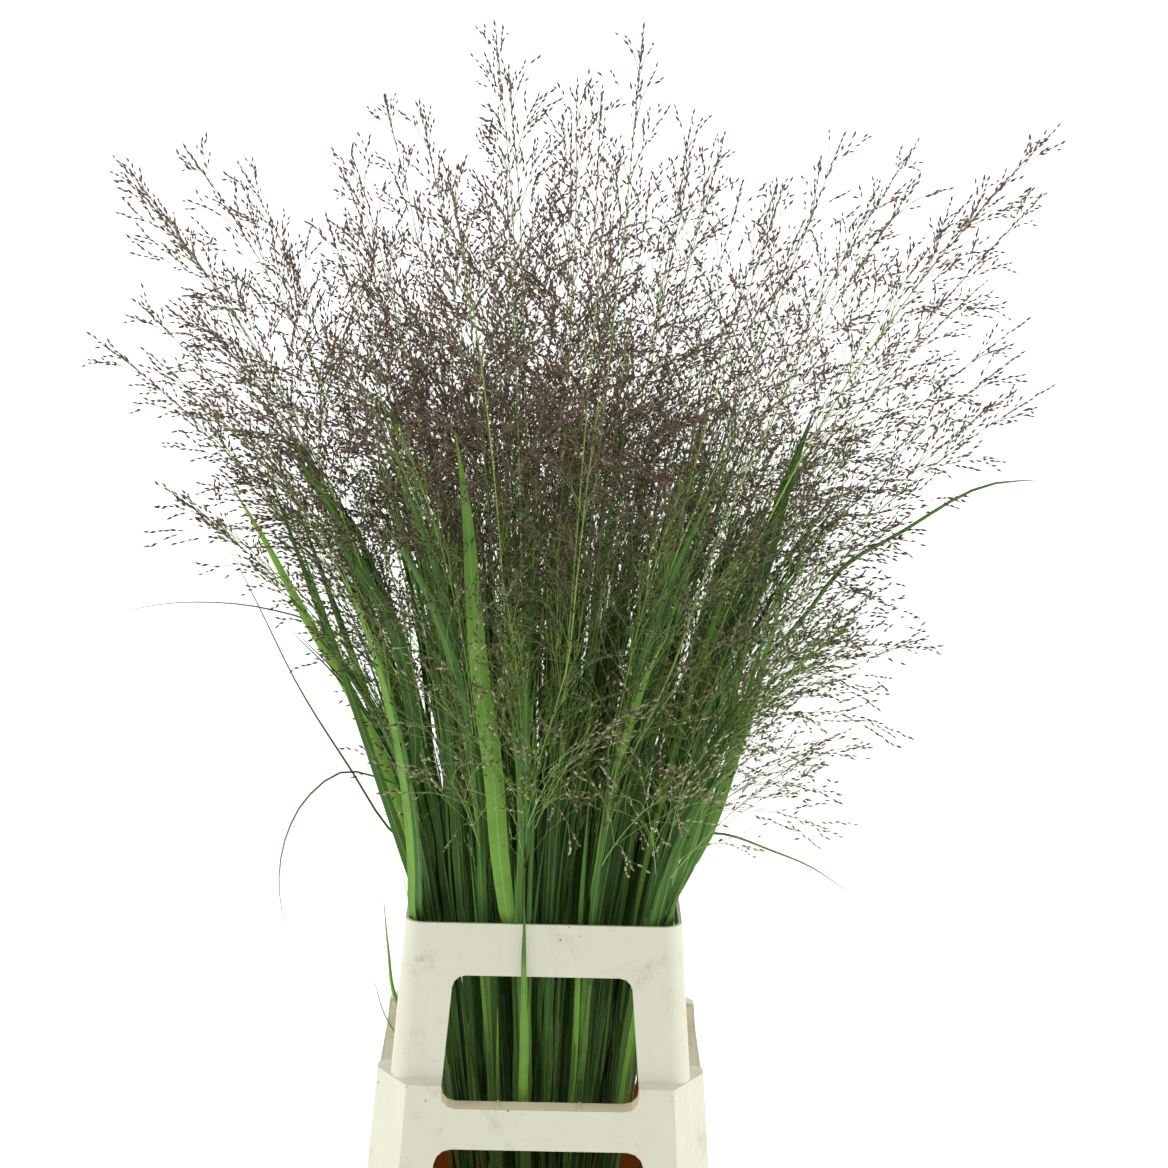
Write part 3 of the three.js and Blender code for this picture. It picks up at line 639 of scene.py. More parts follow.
# Leaves along the rim's inside: stem, root, place on the rim, rise above it, reach past it, the power
# by which the reach grows, shade.
TUCKED_LEAVES = [
    (36, 300, (107, -62), 330, 0.75, 2, 0.8), (41, 290, (100, -96), 290, 0.7, 2, 0.5),
    (31, 310, (107, 30), 360, 0.8, 2, 0.45), (39, 300, (104, 84), 340, 0.7, 2, 0.3),
    (28, 280, (106, -88), 230, 0.6, 2, 0.7), (27, 300, (-107, -34), 250, 0.5, 2, 0.75),
    (35, 290, (-104, -80), 300, 0.65, 2, 0.3), (32, 300, (-105, 70), 330, 0.7, 2, 0.35),
    (35, 320, (-109, -99), 310, 0.55, 2, 0.76), (34, 190, (34, 107), 400, 0.5, 2, 0.2),
    (34, 170, (9, 107), 390, 0.4, 2, 0.4), (29, 180, (-14, 107), 420, 0.4, 2, 0.1),
    (37, 190, (-62, 105), 380, 0.6, 2, 0.3), (37, 240, (-88, 98), 400, 0.6, 2, 0.2),
    (32, 250, (-99, 80), 410, 0.7, 2, 0.45), (39, 180, (66, 104), 380, 0.6, 2, 0.15),
    (39, 250, (100, 90), 410, 0.6, 2, 0.35), (39, 230, (86, 101), 400, 0.5, 2, 0.2),
    (36, 170, (108, 4), 330, 0.7, 2, 0.25), (39, 150, (95, 55), 280, 0.4, 2, 0.25),
    (40, 180, (-108, 20), 320, 0.7, 2, 0.3),
]
# The same for leaves that face the front, most of which spring out over the rim.
SPRUNG_LEAVES = [
    (39, 190, (79, 92), 300, 0.4, 2, 0.3), (36, 260, (104, -36), 330, 0.95, 0.65, 0.72),
    (36, 230, (101, -52), 300, 0.72, 0.7, 0.5), (31, 250, (104, 14), 350, 0.85, 0.7, 0.3),
    (31, 210, (100, 36), 360, 0.6, 0.75, 0.2), (41, 240, (100, -92), 260, 0.6, 0.8, 0.62),
    (28, 120, (102, -74), 300, 0.8, 0.75, 0.45), (27, 240, (-104, -20), 370, 1.3, 1, 0.3),
    (40, 230, (-104, 12), 350, 1.2, 1.1, 0.5), (35, 250, (-104, -58), 330, 1.0, 1, 0.4),
]
TUCKED_STOPS = (0.0, 0.15, 0.4, 0.7, 1.0)
TUCKED_HALF_WIDTHS = [0.6, 4.2, 4.6, 3.0, 0.05]
TUCKED_FOLD = 0.3
TUCKED_TWIST = 0.4
CULM_KIND = 0
BLADE_KIND = 1
CULM_PALE = (0.34, 0.52, 0.12, 1)
CULM_DEEP = (0.085, 0.215, 0.05, 1)
CULM_MOTTLE = (90, 90, 14)
CULM_FIBRES = (900, 900, 20)
LEAF_BLUE = (0.009, 0.034, 0.010, 1)
LEAF_GREEN = (0.060, 0.150, 0.028, 1)
LEAF_LIME = (0.225, 0.45, 0.058, 1)
LEAF_RIB = (0.26, 0.40, 0.14, 1)
LEAF_DRY = (0.42, 0.30, 0.13, 1)
# Leaves close to the collar's wall and below its rim are painted paler, as if lit through the wall
# and the windows.
LIT_FROM_CENTRE = (0.07, 0.09)
LIT_BELOW = (0.40, 0.36)
LIT_SHADE = 0.35


def leaf_finish():
    finish = Finish("leaf_blade", ior=1.4, specular_ior_level=0.22)
    point, x, y, z = finish.place()
    across = abs(finish.attribute("across"))
    along = finish.attribute("along")
    # Painted light on leaves near the collar's wall, below its rim.
    lit = abs(x).or_more(abs(y)).ramp(*LIT_FROM_CENTRE) * z.ramp(*LIT_BELOW)
    shade = finish.attribute("shade") + lit * LIT_SHADE
    mottle = finish.noise(point, 55, detail=4)
    veins = (across * 34 + mottle * 2).wave()
    colour = finish.blend(LEAF_BLUE, LEAF_GREEN, (shade + mottle * 0.3).ramp(0.1, 0.55))
    colour = finish.blend(colour, LEAF_LIME, (shade + mottle * 0.2).ramp(0.62, 1.1))
    colour = finish.blend(colour, LEAF_LIME, (veins * 0.5 + 0.5) * 0.10)
    pale = across.ramp(0.14, 0.03) * 0.6 + across.ramp(0.90, 1.0) * 0.4
    colour = finish.blend(colour, LEAF_RIB, pale)
    colour = finish.blend(colour, LEAF_DRY, (along + mottle * 0.06).ramp(0.985, 1.03) * 0.7)
    finish.feed("Base Color", colour)
    finish.feed("Roughness", 0.40 + mottle * 0.16)
    finish.bump(veins, 0.25, 0.0003)
    return finish.material


def culm_finish():
    finish = Finish("culm_straw", ior=1.4, specular_ior_level=0.3)
    point, *_ = finish.place()
    shade = finish.attribute("shade")
    mottle = finish.noise(finish.stretched(point, CULM_MOTTLE), 1.0, detail=4)
    paleness = (shade * 0.7 + mottle * 0.6).ramp(0.2, 0.9)
    finish.feed("Base Color", finish.blend(CULM_DEEP, CULM_PALE, paleness))
    finish.feed("Roughness", 0.34 + mottle * 0.2)
    finish.bump(finish.noise(finish.stretched(point, CULM_FIBRES), 1.0, detail=2), 0.2, 0.0002)
    return finish.material


def distances(points):
    """How far along a run of points each of them lies."""
    return np.concatenate([[0], np.cumsum(np.linalg.norm(np.diff(points, axis=0), axis=1))])


def smooth_run(stops, steps):
    """Points spread evenly along a smooth curve through the stops, and how far along each lies."""
    stops = np.asarray(stops, float)
    at = distances(stops)
    slopes = np.gradient(stops, at, axis=0)
    where = np.linspace(0, at[-1], steps + 1)
    k = np.clip(np.searchsorted(at, where, side="right") - 1, 0, len(at) - 2)
    gap = (at[k + 1] - at[k])[:, None]
    u = (where - at[k])[:, None] / gap
    points = (
        stops[k] * (1 + 2 * u) * (1 - u) ** 2 + stops[k + 1] * u ** 2 * (3 - 2 * u)
        + slopes[k] * gap * u * (1 - u) ** 2 - slopes[k + 1] * gap * u ** 2 * (1 - u)
    )
    return points, where / at[-1]


def blade_skin(route, stations, half_widths, side, shade, fold, twist, skins, steps=BLADE_STEPS):
    """A folded blade along a route, so wide at each station: edges raised, a rib below."""
    points, share = smooth_run(route, steps)
    half = np.interp(share, stations, half_widths)
    along = headings(points)
    flat = unit(side - along * (along @ side)[:, None])
    up = np.cross(along, flat)
    turned = (twist * share ** 1.5)[:, None]
    across = flat * np.cos(turned) + up * np.sin(turned)
    up = np.cross(along, across)
    raised = np.interp(share, [0, 1], [fold, BLADE_FOLD_TIP])[:, None] * half[:, None]
    thick = (BLADE_THICKNESS * np.minimum(1, half / 2 + 0.1))[:, None]
    rings = np.stack([
        points + across * half[:, None] + up * raised,
        points + up * thick * BLADE_TOP_SHARE,
        points - across * half[:, None] + up * raised,
        points - up * (thick * (1 - BLADE_TOP_SHARE) + BLADE_RIB * (1 - share)[:, None]),
    ], axis=1)
    skins.add(rings, BLADE_KIND, [1, 0, 1, 0], shade)


def ruled_blade(stem, b, skins):
    """Blade b by the rule of the solids; the first of an outer stem faces out and arches."""
    def chance(what):
        return draw(stem.i, DRAWS[what] + b)

    inner = b >= BLADES_PER_STEM
    free = stem.outer and b == 0
    droop = 0.0
    if free:
        azimuth = stem.turn
        reach = FREE_BLADE["reach"] + FREE_BLADE["reach_spread"] * chance("reach")
        droop = FREE_BLADE["droop"] + FREE_BLADE["droop_spread"] * chance("droop")
        root = FREE_BLADE["root_lowest"] + FREE_BLADE["root_spread"] * chance("root")
        length = BLADE_SHORTEST + BLADE_SPREAD * chance("length")
    elif inner:
        azimuth = stem.turn + INNER_LEAF["turn_spread"] * (chance("turn") - 0.5)
        reach = INNER_LEAF["reach"] + INNER_LEAF["reach_spread"] * chance("reach")
        height = chance("root") ** INNER_LEAF["crowding"]
        root = INNER_LEAF["root_lowest"] + INNER_LEAF["root_spread"] * height
        length_spread = INNER_LEAF["longest"] - INNER_LEAF["shortest"]
        length = INNER_LEAF["shortest"] + length_spread * chance("length")
    else:
        azimuth = stem.turn + BLADE_TURN + BLADE_TURN_SPREAD * chance("turn")
        reach = BLADE_CELL
        root = BLADE_ROOT_LOWEST + BLADE_ROOT_SPREAD * ((b + chance("root")) / BLADES_PER_STEM)
        length = BLADE_SHORTEST + BLADE_SPREAD * chance("length")
    length = min(length, stem.top - BLADE_BELOW_TOP - root)
    route = []
    for t in BLADE_STATIONS:
        z = root + length * (t - droop * t * t)
        off = 0 if t == 0 else BLADE_STANDOFF / bunch_half(z) + reach * t * t
        route.append(stem.at(z, off, azimuth))
    if inner:
        breadth = INNER_LEAF["narrowest"] + INNER_LEAF["width_spread"] * chance("width")
    else:
        breadth = BLADE_NARROWEST + BLADE_WIDTH_SPREAD * chance("width")
    side = np.array([-math.sin(azimuth), math.cos(azimuth), 0])
    fold = BLADE_FOLD_ROOT * (0.5 + chance("fold"))
    twist = BLADE_TWIST * (chance("twist") - 0.5) * (2 if inner else 1)
    # Painted shade towards the heart of the bunch, painted light on the ruled leaves of outer stems.
    if inner:
        shade = INNER_SHADE * chance("shade") * (HEART_PAINTED_SHADE + (1 - HEART_PAINTED_SHADE) * stem.spread)
    else:
        shade = (OUTER_PAINTED_LIGHT if stem.outer else 0) + INNER_SHADE * chance("shade")
    steps = INNER_STEPS if inner else BLADE_STEPS
    half_widths = np.array(BLADE_HALF_WIDTHS) * breadth
    blade_skin(route, BLADE_STATIONS, half_widths, side, shade, fold, twist, skins, steps)
    return root


def tucked_leaf(stem, leaf, faces_front, skins):
    """A leaf that lies against the rim's inside, from its culm over the rim and out."""
    _, root, (across, deep), rise, reach, power, shade = leaf
    route = [stem.at(root)]
    for t in TUCKED_STOPS:
        out = 1 + reach * t ** power
        route.append((across * out, deep * out, RIM_Z + rise * t))
    side = np.array([1.0, 0, 0]) if faces_front else unit(np.array([deep, -across, 0]))
    blade_skin(route, BLADE_STATIONS, TUCKED_HALF_WIDTHS, side, shade, TUCKED_FOLD, TUCKED_TWIST, skins)


def long_leaf(stem, leaf, skins):
    """A leaf that stands out of the bunch, along the same route as its solid."""
    _, root, widest, bluntness, faces_front, shade, stops = leaf
    route = np.array([stem.at(root), *stops])
    last = len(route) - 1
    half_widths = [BLADE_HALF_WIDTHS[0]]
    for k in range(1, last + 1):
        full = widest * min(1, LONG_LEAF_NECK + k / last)
        half_widths.append(full * (1 - (k / last) ** bluntness) + BLADE_HALF_WIDTHS[-1])
    at = distances(route)
    even = np.linspace(0, 1, LONG_LEAF_STOPS)
    spread = np.interp(even, at / at[-1], half_widths)
    facing = np.array([0, -1.0, 0]) if faces_front else np.array([0, 0, 1.0])
    side = unit(np.cross(unit(route[last] - route[0]), facing))
    blade_skin(route, even, spread, side, shade, LONG_LEAF_FOLD, 0.0, skins)
    return root


grass_materials = [culm_finish(), leaf_finish()]
stems = [Stem(i) for i in range(STEMS)]
for stem in stems:
    skins = Skins()
    roots = [long_leaf(stem, leaf, skins) for leaf in LONG_LEAVES if leaf[0] == stem.i]
    roots += [ruled_blade(stem, b, skins) for b in range(len(roots), LEAVES_PER_STEM)]
    for leaves, faces_front in ((TUCKED_LEAVES, False), (SPRUNG_LEAVES, True)):
        for leaf in leaves:
            if leaf[0] == stem.i:
                tucked_leaf(stem, leaf, faces_front, skins)
    culm_skin(stem, roots, skins)
    grass = skins.object(f"grass_{stem.name}", grass_materials, LEAF_SHARP)
    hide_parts(f"stem_{stem.name}")
    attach(grass, "root")

# Panicles: the open flower head of each stem. Hair-thin twigs leave the axis in whorls and bow out,
# each with finer twigs, and rows of slender purple-brown spikelets lie along their outer parts. Young
# heads further down are still closed and green, and weak shoots with faded spikelets hang out low.
RIPE_HEAD = {
    "whorls": 10, "twigs": 3, "low_whorls": 4, "longest": 175, "shortest": 28, "start": 0.5, "end": 1.2,
    "closes_up": 0.75, "steps": 4, "bare": 0.54, "fine_every": 24, "fine_angles": (0.35, 0.62),
}
YOUNG_HEAD = {
    "whorls": 6, "twigs": 3, "low_whorls": 0, "longest": 85, "shortest": 30, "start": 0.16, "end": 0.3,
    "closes_up": 0.1, "steps": 3, "bare": 0.3, "fine_every": 45, "fine_angles": (0.1, 0.2),
}
WEAK_HEAD = {
    "whorls": 3, "twigs": 2, "low_whorls": 1, "longest": 120, "shortest": 45, "start": 0.35, "end": 0.9,
    "closes_up": 0.4, "steps": 4, "bare": 0.58, "fine_every": 42, "fine_angles": (0.3, 0.5),
}
WHORL_START = 0.15
TWIG_RADIUS = 0.3
TWIG_TIP = 0.1
TWIG_DROOP = 0.1
TWIG_WOBBLE = 0.012
TWIG_LENGTHS = (0.7, 1.2)
TWIG_STRAIGHTENS = 0.6
BARE_FADE = 0.08
BORNE_FROM = 0.75
FINE_STEPS = 2
FINE_RADIUS = 0.19
FINE_TIP = 0.09
FINE_LENGTHS = (0.7, 1.25)
FINE_SHARE = 0.42
FINE_BARE = 0.25
AXIS_STEPS = 22
AXIS_BARE = 0.86
SHORT_HEAD = 300
SHORT_HEAD_TWIGS = 0.8
LEFT_EDGE = -90
LEFT_BARE = (580, 760)
LEFT_ROOM = 0.3
# How full the ripe heads are, from the left of the bunch to its right.
ACROSS = (-250, -190, -40, 20, 90, 230, 300)
FULLNESS = (1.45, 1.25, 1.25, 1.1, 0.72, 0.76, 1.4)
RIPENS = (540, 700)
LOW_SHARE = 0.5
LOW_TONE = 0.45
# Seven stems bear one more head, which stands out of the bunch by itself.
LEAD_HEADS = {
    12: {"aside": math.radians(-5), "top": 1130},
    28: {"aside": math.radians(3), "top": 1065},
    31: {"aside": math.radians(-14), "top": 900, "bend": 1.3},
    36: {"aside": math.radians(-8), "top": 862, "bend": 1.6},
    40: {"aside": math.radians(3), "top": 870, "bend": 1.5},
    27: {"aside": math.radians(-4), "top": 830, "bend": 2.0},
    32: {"aside": math.radians(14), "top": 800, "bend": 2.4},
}
SPIKELET_LENGTH = 7.0
SPIKELET_WIDTH = 1.15
SPIKELET_SPACING = 5.2
SPIKELET_WIDEST = 0.42
SPIKELET_LEAN = (0.08, 0.4)
SPIKELET_SIZES = (0.72, 1.1)
SPIKELET_SIDES = 3
SIDE_HEADS = [{"aside": math.radians(12), "step": 1}]
LEFT_HEADS = [*SIDE_HEADS, {"aside": math.radians(-10), "step": 2}]
LEFT_FROM = -0.85
SIDE_LEAVES = 60
SIDE_CLEAR = 190
YOUNG_PER_STEM = 3
YOUNG_TOPS = (590, 840)
YOUNG_LENGTHS = (150, 230)
YOUNG_OFF = (0.03, 0.14)
YOUNG_BELOW_TOP = 40
YOUNG_RADIUS = 1.0
YOUNG_TIP = 0.2
YOUNG_TONE = (0.55, 1.0)
SHOOT_HEIGHT = 125
SHOOT_HEIGHT_LEFT = 95
SHOOT_HEIGHT_SPREAD = (-40, 60)
SHOOT_AZIMUTH = 0.5
SHOOT_LENGTH = (140, 200)
SHOOT_LONGER_RIGHT = 0.2
SHOOT_TILT = (0.4, 0.85)
SHOOT_DROOP = 0.14
SHOOT_OUT = 0.1
SHOOT_THICK = (0.55, 0.2)
SHOOT_STEPS = 12
SHOOT_BARE_STEPS = 3
SHOOT_TONE = -1.0
MORE_SHOOTS = [
    {"way": (0, -1), "from": 0.35, "count": 2, "azimuth": 1.2, "height": (20, 190)},
    {"way": (1, 0), "from": 0.6, "count": 2, "azimuth": 0.4, "height": (70, 190)},
]
SPIKELET_PURPLE = (0.150, 0.088, 0.070, 1)
SPIKELET_DARK = (0.066, 0.045, 0.031, 1)
SPIKELET_ROSE = (0.270, 0.150, 0.140, 1)
SPIKELET_SHADED = (0.030, 0.021, 0.014, 1)
SPIKELET_OLIVE = (0.155, 0.145, 0.050, 1)
SPIKELET_BUFF = (0.60, 0.50, 0.34, 1)
SPIKELET_GREEN = (0.15, 0.24, 0.045, 1)
TWIG_GREEN = (0.25, 0.38, 0.10, 1)
TWIG_LIME = (0.36, 0.54, 0.12, 1)
TWIG_BROWN = (0.20, 0.15, 0.08, 1)


def spikelet_finish():
    finish = Finish("spikelet_husk", specular_ior_level=0.25)
    point, _, _, z = finish.place()
    shade = finish.attribute("shade")
    tone = finish.attribute("tone")
    patch = finish.noise(point, 9, detail=3)
    colour = finish.blend(SPIKELET_DARK, SPIKELET_PURPLE, shade.ramp(0.0, 0.5))
    colour = finish.blend(colour, SPIKELET_ROSE, (shade + patch * 0.4).ramp(0.85, 1.2))
    olive = (finish.noise(point, 23, detail=2) + (0.75 - z) * 0.7).ramp(0.5, 0.7)
    colour = finish.blend(colour, SPIKELET_OLIVE, olive * shade.ramp(0.85, 0.5))
    pale = (shade * 0.5 + patch + (0.62 - z)).ramp(0.6, 1.1) * tone.ramp(0.0, -0.8)
    colour = finish.blend(colour, SPIKELET_SHADED, z.ramp(0.86, 0.66) * 0.6)
    colour = finish.blend(colour, SPIKELET_BUFF, pale)
    unripe = tone.ramp(0.0, 1.0) * shade.ramp(1.0, 0.6)
    finish.feed("Base Color", finish.blend(colour, SPIKELET_GREEN, unripe))
    finish.feed("Roughness", 0.42 + shade * 0.2)
    return finish.material


def twig_finish():
    finish = Finish("twig_hair", specular_ior_level=0.3)
    point, _, _, z = finish.place()
    patch = finish.noise(point, 14, detail=3)
    colour = finish.blend(TWIG_GREEN, TWIG_BROWN, (patch + z * 0.5).ramp(0.75, 1.15))
    stout = finish.attribute("thick").ramp(0.0003, 0.0006)
    lush = stout.or_more(finish.attribute("tone").ramp(0.0, 0.8))
    finish.feed("Base Color", finish.blend(colour, TWIG_LIME, lush))
    finish.feed("Roughness", 0.45 + patch * 0.1)
    return finish.material


class Tree(Nodes):
    """A Geometry Nodes tree with named inputs."""

    def __init__(self, name, inputs):
        self.tree = bpy.data.node_groups.new(name, "GeometryNodeTree")
        face = self.tree.interface
        face.new_socket(name="Geometry", in_out="INPUT", socket_type="NodeSocketGeometry")
        self.named = {
            words: face.new_socket(name=words, in_out="INPUT", socket_type=f"NodeSocket{kind}").identifier
            for words, kind in inputs.items()
        }
        face.new_socket(name="Geometry", in_out="OUTPUT", socket_type="NodeSocketGeometry")
        self.given = self.tree.nodes.new("NodeGroupInput").outputs
        self.result = self.tree.nodes.new("NodeGroupOutput").inputs[0]

    def shape(self, kind, inputs, **settings):
        """The first output of a new geometry node."""
        return self.node(f"GeometryNode{kind}", settings, inputs).outputs[0]

    def random(self, low, high, seed):
        return self.node("FunctionNodeRandomValue", {}, {"Min": low, "Max": high, "Seed": seed}).outputs[1]

    def stored(self, name):
        return self.node("GeometryNodeInputNamedAttribute", {}, {"Name": name}).outputs["Attribute"]

    def maths(self, operation, first, second):
        return self.node("ShaderNodeMath", {"operation": operation}, {0: first, 1: second}).outputs[0]


def spray_tree():
    """Runs of edges become thin twigs, and spikelets sit along them where the runs bear them."""
    tree = Tree("spray", {
        "Twig sides": "Int", "Spikelet spacing": "Float", "Spikelet length": "Float",
        "Spikelet width": "Float", "Least lean": "Float", "Most lean": "Float",
        "Twig finish": "Material", "Spikelet finish": "Material", "Seed": "Int",
    })
    given, node, shape = tree.given, tree.node, tree.shape
    runs = shape("MeshToCurve", {"Mesh": given["Geometry"]})
    section = shape("CurvePrimitiveCircle", {"Resolution": given["Twig sides"], "Radius": 1.0})
    twigs = shape("CurveToMesh", {
        "Curve": runs, "Profile Curve": section, "Scale": tree.stored("thick"), "Fill Caps": True,
    })
    twigs = shape("SetShadeSmooth", {"Geometry": twigs})
    twigs = shape("SetMaterial", {"Geometry": twigs, "Material": given["Twig finish"]})

    def cone(top, bottom, depth):
        return shape("MeshCone", {
            "Vertices": SPIKELET_SIDES, "Radius Top": top, "Radius Bottom": bottom, "Depth": depth,
        }, fill_type="NONE")

    width = given["Spikelet width"]
    low_depth = tree.maths("MULTIPLY", given["Spikelet length"], SPIKELET_WIDEST)
    high_depth = tree.maths("MULTIPLY", given["Spikelet length"], 1 - SPIKELET_WIDEST)
    lift = node("ShaderNodeCombineXYZ", {}, {"Z": low_depth}).outputs[0]
    high = shape("Transform", {"Geometry": cone(0.0, width, high_depth), "Translation": lift})
    husk = shape("JoinGeometry", {"Geometry": [cone(width, 0.0, low_depth), high]})
    husk = shape("MergeByDistance", {"Geometry": husk, "Distance": 1e-6})
    husk = shape("SetShadeSmooth", {"Geometry": husk})

    seats = node("GeometryNodeCurveToPoints", {"mode": "LENGTH"}, {
        "Curve": runs, "Length": given["Spikelet spacing"],
    })
    borne = node("FunctionNodeCompare", {"operation": "GREATER_THAN"}, {
        "A": tree.stored("bears"), "B": tree.random(0.02, 1.0, given["Seed"]),
    }).outputs[0]
    spin = node("ShaderNodeCombineXYZ", {}, {"Z": tree.random(0.0, 2 * math.pi, given["Seed"])}).outputs[0]
    lean = node("ShaderNodeCombineXYZ", {}, {
        "X": tree.random(given["Least lean"], given["Most lean"], tree.maths("ADD", given["Seed"], 1)),
    }).outputs[0]
    turned = seats.outputs["Rotation"]
    for angles in (spin, lean):
        turn = node("FunctionNodeEulerToRotation", {}, {"Euler": angles}).outputs[0]
        turned = node("FunctionNodeRotateRotation", {"rotation_space": "LOCAL"}, {
            "Rotation": turned, "Rotate By": turn,
        }).outputs[0]
    husks = shape("InstanceOnPoints", {
        "Points": seats.outputs["Points"], "Selection": borne, "Instance": husk, "Rotation": turned,
        "Scale": tree.random(*SPIKELET_SIZES, tree.maths("ADD", given["Seed"], 2)),
    })
    husks = shape("StoreNamedAttribute", {
        "Geometry": husks, "Name": "shade",
        "Value": tree.random(0.0, 1.0, tree.maths("ADD", given["Seed"], 3)),
    }, data_type="FLOAT", domain="INSTANCE")
    husks = shape("RealizeInstances", {"Geometry": husks})
    husks = shape("SetMaterial", {"Geometry": husks, "Material": given["Spikelet finish"]})
    both = shape("JoinGeometry", {"Geometry": [twigs, husks]})
    tree.tree.links.new(both, tree.result)
    return tree


class Runs:
    """Chains of edges, each with how thick it is, how likely it bears a spikelet, and its tone, from
    -1 where the spikelets have faded through 0 where they are ripe to 1 where they are green."""

    def __init__(self):
        self.points, self.thick, self.bears, self.tones, self.edges = [], [], [], [], []
        self.count = 0

    def add(self, points, thick, bears, tone):
        self.points.append(points)
        self.thick.append(np.asarray(thick) * MM)
        self.bears.append(bears)
        self.tones.append(np.full(len(points), tone))
        self.edges += [(self.count + k, self.count + k + 1) for k in range(len(points) - 1)]
        self.count += len(points)

    def object(self, name):
        mesh = bpy.data.meshes.new(name)
        mesh.from_pydata(np.concatenate(self.points) * MM, self.edges, [])
        for word, parts in (("thick", self.thick), ("bears", self.bears), ("tone", self.tones)):
            mesh.attributes.new(word, "FLOAT", "POINT").data.foreach_set("value", np.concatenate(parts))
        return placed(name, mesh)


def twig(root, along, out, length, angles, steps, chance):
    """A thin twig that starts close to its axis and bows away from it."""
    s = np.linspace(0, 1, steps + 1)[:, None]
    start = math.cos(angles[0]) * along + math.sin(angles[0]) * out
    end = math.cos(angles[1]) * along + math.sin(angles[1]) * out
    sag = np.array([0, 0, TWIG_DROOP * length])
    points = root + length * (start * s + (end - start) * s ** 2 / 2) - sag * s ** 2
    points[1:-1] += chance.normal(0, TWIG_WOBBLE * length / steps ** 0.5, (steps - 1, 3))
    return points


def bearing(steps, bare):
    """How likely a spikelet is along a twig: none on its bare foot, more towards its tip."""
    return np.interp(np.linspace(0, 1, steps + 1), [bare - BARE_FADE, bare, 1], [0, BORNE_FROM, 1.0])


def grow_spray(axis, turn, habit, tone, chance, runs):
    """Whorls of twigs with finer twigs, along an axis given from its neck to its tip. Ripe heads are
    fuller in some parts of the bunch than in others, and low down they are barer and greener."""
    ripe = tone == 0
    heading = headings(axis)
    places = np.linspace(0, 1, len(axis))
    for w in range(habit["whorls"]):
        rise = (w + WHORL_START) / habit["whorls"]
        root = np.array([np.interp(rise, places, axis[:, k]) for k in range(3)])
        along = unit(np.array([np.interp(rise, places, heading[:, k]) for k in range(3)]))
        room = np.interp(root[2], LEFT_BARE, [LEFT_ROOM, 1]) if root[0] < LEFT_EDGE else 1
        full = 1
        if ripe:
            full = np.interp(root[2], RIPENS, [LOW_SHARE, 1]) * np.interp(root[0], ACROSS, FULLNESS)
            tone = np.interp(root[2], RIPENS, [LOW_TONE, 0])
        start = habit["start"] * (1 - TWIG_STRAIGHTENS * rise)
        angles = (start, habit["end"] - habit["closes_up"] * rise)
        twigs = habit["twigs"] + (1 if w < habit["low_whorls"] else 0)
        for n in range(twigs):
            azimuth = turn + w * GOLDEN_ANGLE + (n + chance.uniform(-0.25, 0.25)) * 2 * math.pi / twigs
            out = np.array([math.cos(azimuth), math.sin(azimuth), 0])
            out = unit(out - along * (out @ along))
            length = habit["shortest"] + (habit["longest"] - habit["shortest"]) * (1 - rise)
            length *= chance.uniform(*TWIG_LENGTHS) * room
            steps = habit["steps"]
            points = twig(root, along, out, length, angles, steps, chance)
            thick = np.linspace(TWIG_RADIUS, TWIG_TIP, steps + 1)
            runs.add(points, thick, full * bearing(steps, habit["bare"]), tone)
            ways = headings(points)
            fines = max(1, round(full * length / habit["fine_every"]))
            for m in range(fines):
                share = 0.22 + 0.6 * (m + chance.random()) / fines
                k = int(share * steps)
                place = points[k] + (points[k + 1] - points[k]) * (share * steps - k)
                across = unit(np.cross(ways[k], chance.normal(0, 1, 3)))
                fine = length * FINE_SHARE * (1.15 - 0.6 * share) * chance.uniform(*FINE_LENGTHS)
                fine_points = twig(place, ways[k], across, fine, habit["fine_angles"], FINE_STEPS, chance)
                thin = np.linspace(FINE_RADIUS, FINE_TIP, FINE_STEPS + 1)
                runs.add(fine_points, thin, full * bearing(FINE_STEPS, FINE_BARE), tone)


def young_head(stem, chance, runs):
    """A head that is still closed, on a thin culm beside its stem."""
    azimuth = chance.uniform(0, 2 * math.pi)
    off = chance.uniform(*YOUNG_OFF)
    top = min(chance.uniform(*YOUNG_TOPS), stem.top - YOUNG_BELOW_TOP)
    heights = np.linspace(RIM_Z, top, AXIS_STEPS + 1)
    axis = np.array([stem.at(z, off * (z - RIM_Z) / (top - RIM_Z), azimuth) for z in heights])
    tone = chance.uniform(*YOUNG_TONE)
    thick = np.linspace(YOUNG_RADIUS, YOUNG_TIP, AXIS_STEPS + 1)
    runs.add(axis, thick, bearing(AXIS_STEPS, AXIS_BARE), tone)
    head = axis[heights > top - chance.uniform(*YOUNG_LENGTHS)]
    grow_spray(head, azimuth, YOUNG_HEAD, tone, chance, runs)


def low_shoot(stem, azimuth, height, chance, runs):
    """A weak side shoot that leaves the bunch near the rim and hangs out with a small spray."""
    out = np.array([math.cos(azimuth), math.sin(azimuth), 0])
    up = np.array([0, 0, 1.0])
    root = stem.at(RIM_Z + height)
    length = chance.uniform(*SHOOT_LENGTH) * (1 + SHOOT_LONGER_RIGHT * math.cos(azimuth))
    tilt = chance.uniform(*SHOOT_TILT)
    s = np.linspace(0, 1, SHOOT_STEPS + 1)[:, None]
    way = math.cos(tilt) * up + math.sin(tilt) * out
    bow = out * SHOOT_OUT - up * SHOOT_DROOP
    axis = root + length * s * way + length * s ** 2 * bow
    thick = np.linspace(*SHOOT_THICK, SHOOT_STEPS + 1)
    runs.add(axis, thick, bearing(SHOOT_STEPS, AXIS_BARE), SHOOT_TONE)
    grow_spray(axis[SHOOT_BARE_STEPS:], azimuth, WEAK_HEAD, SHOOT_TONE, chance, runs)


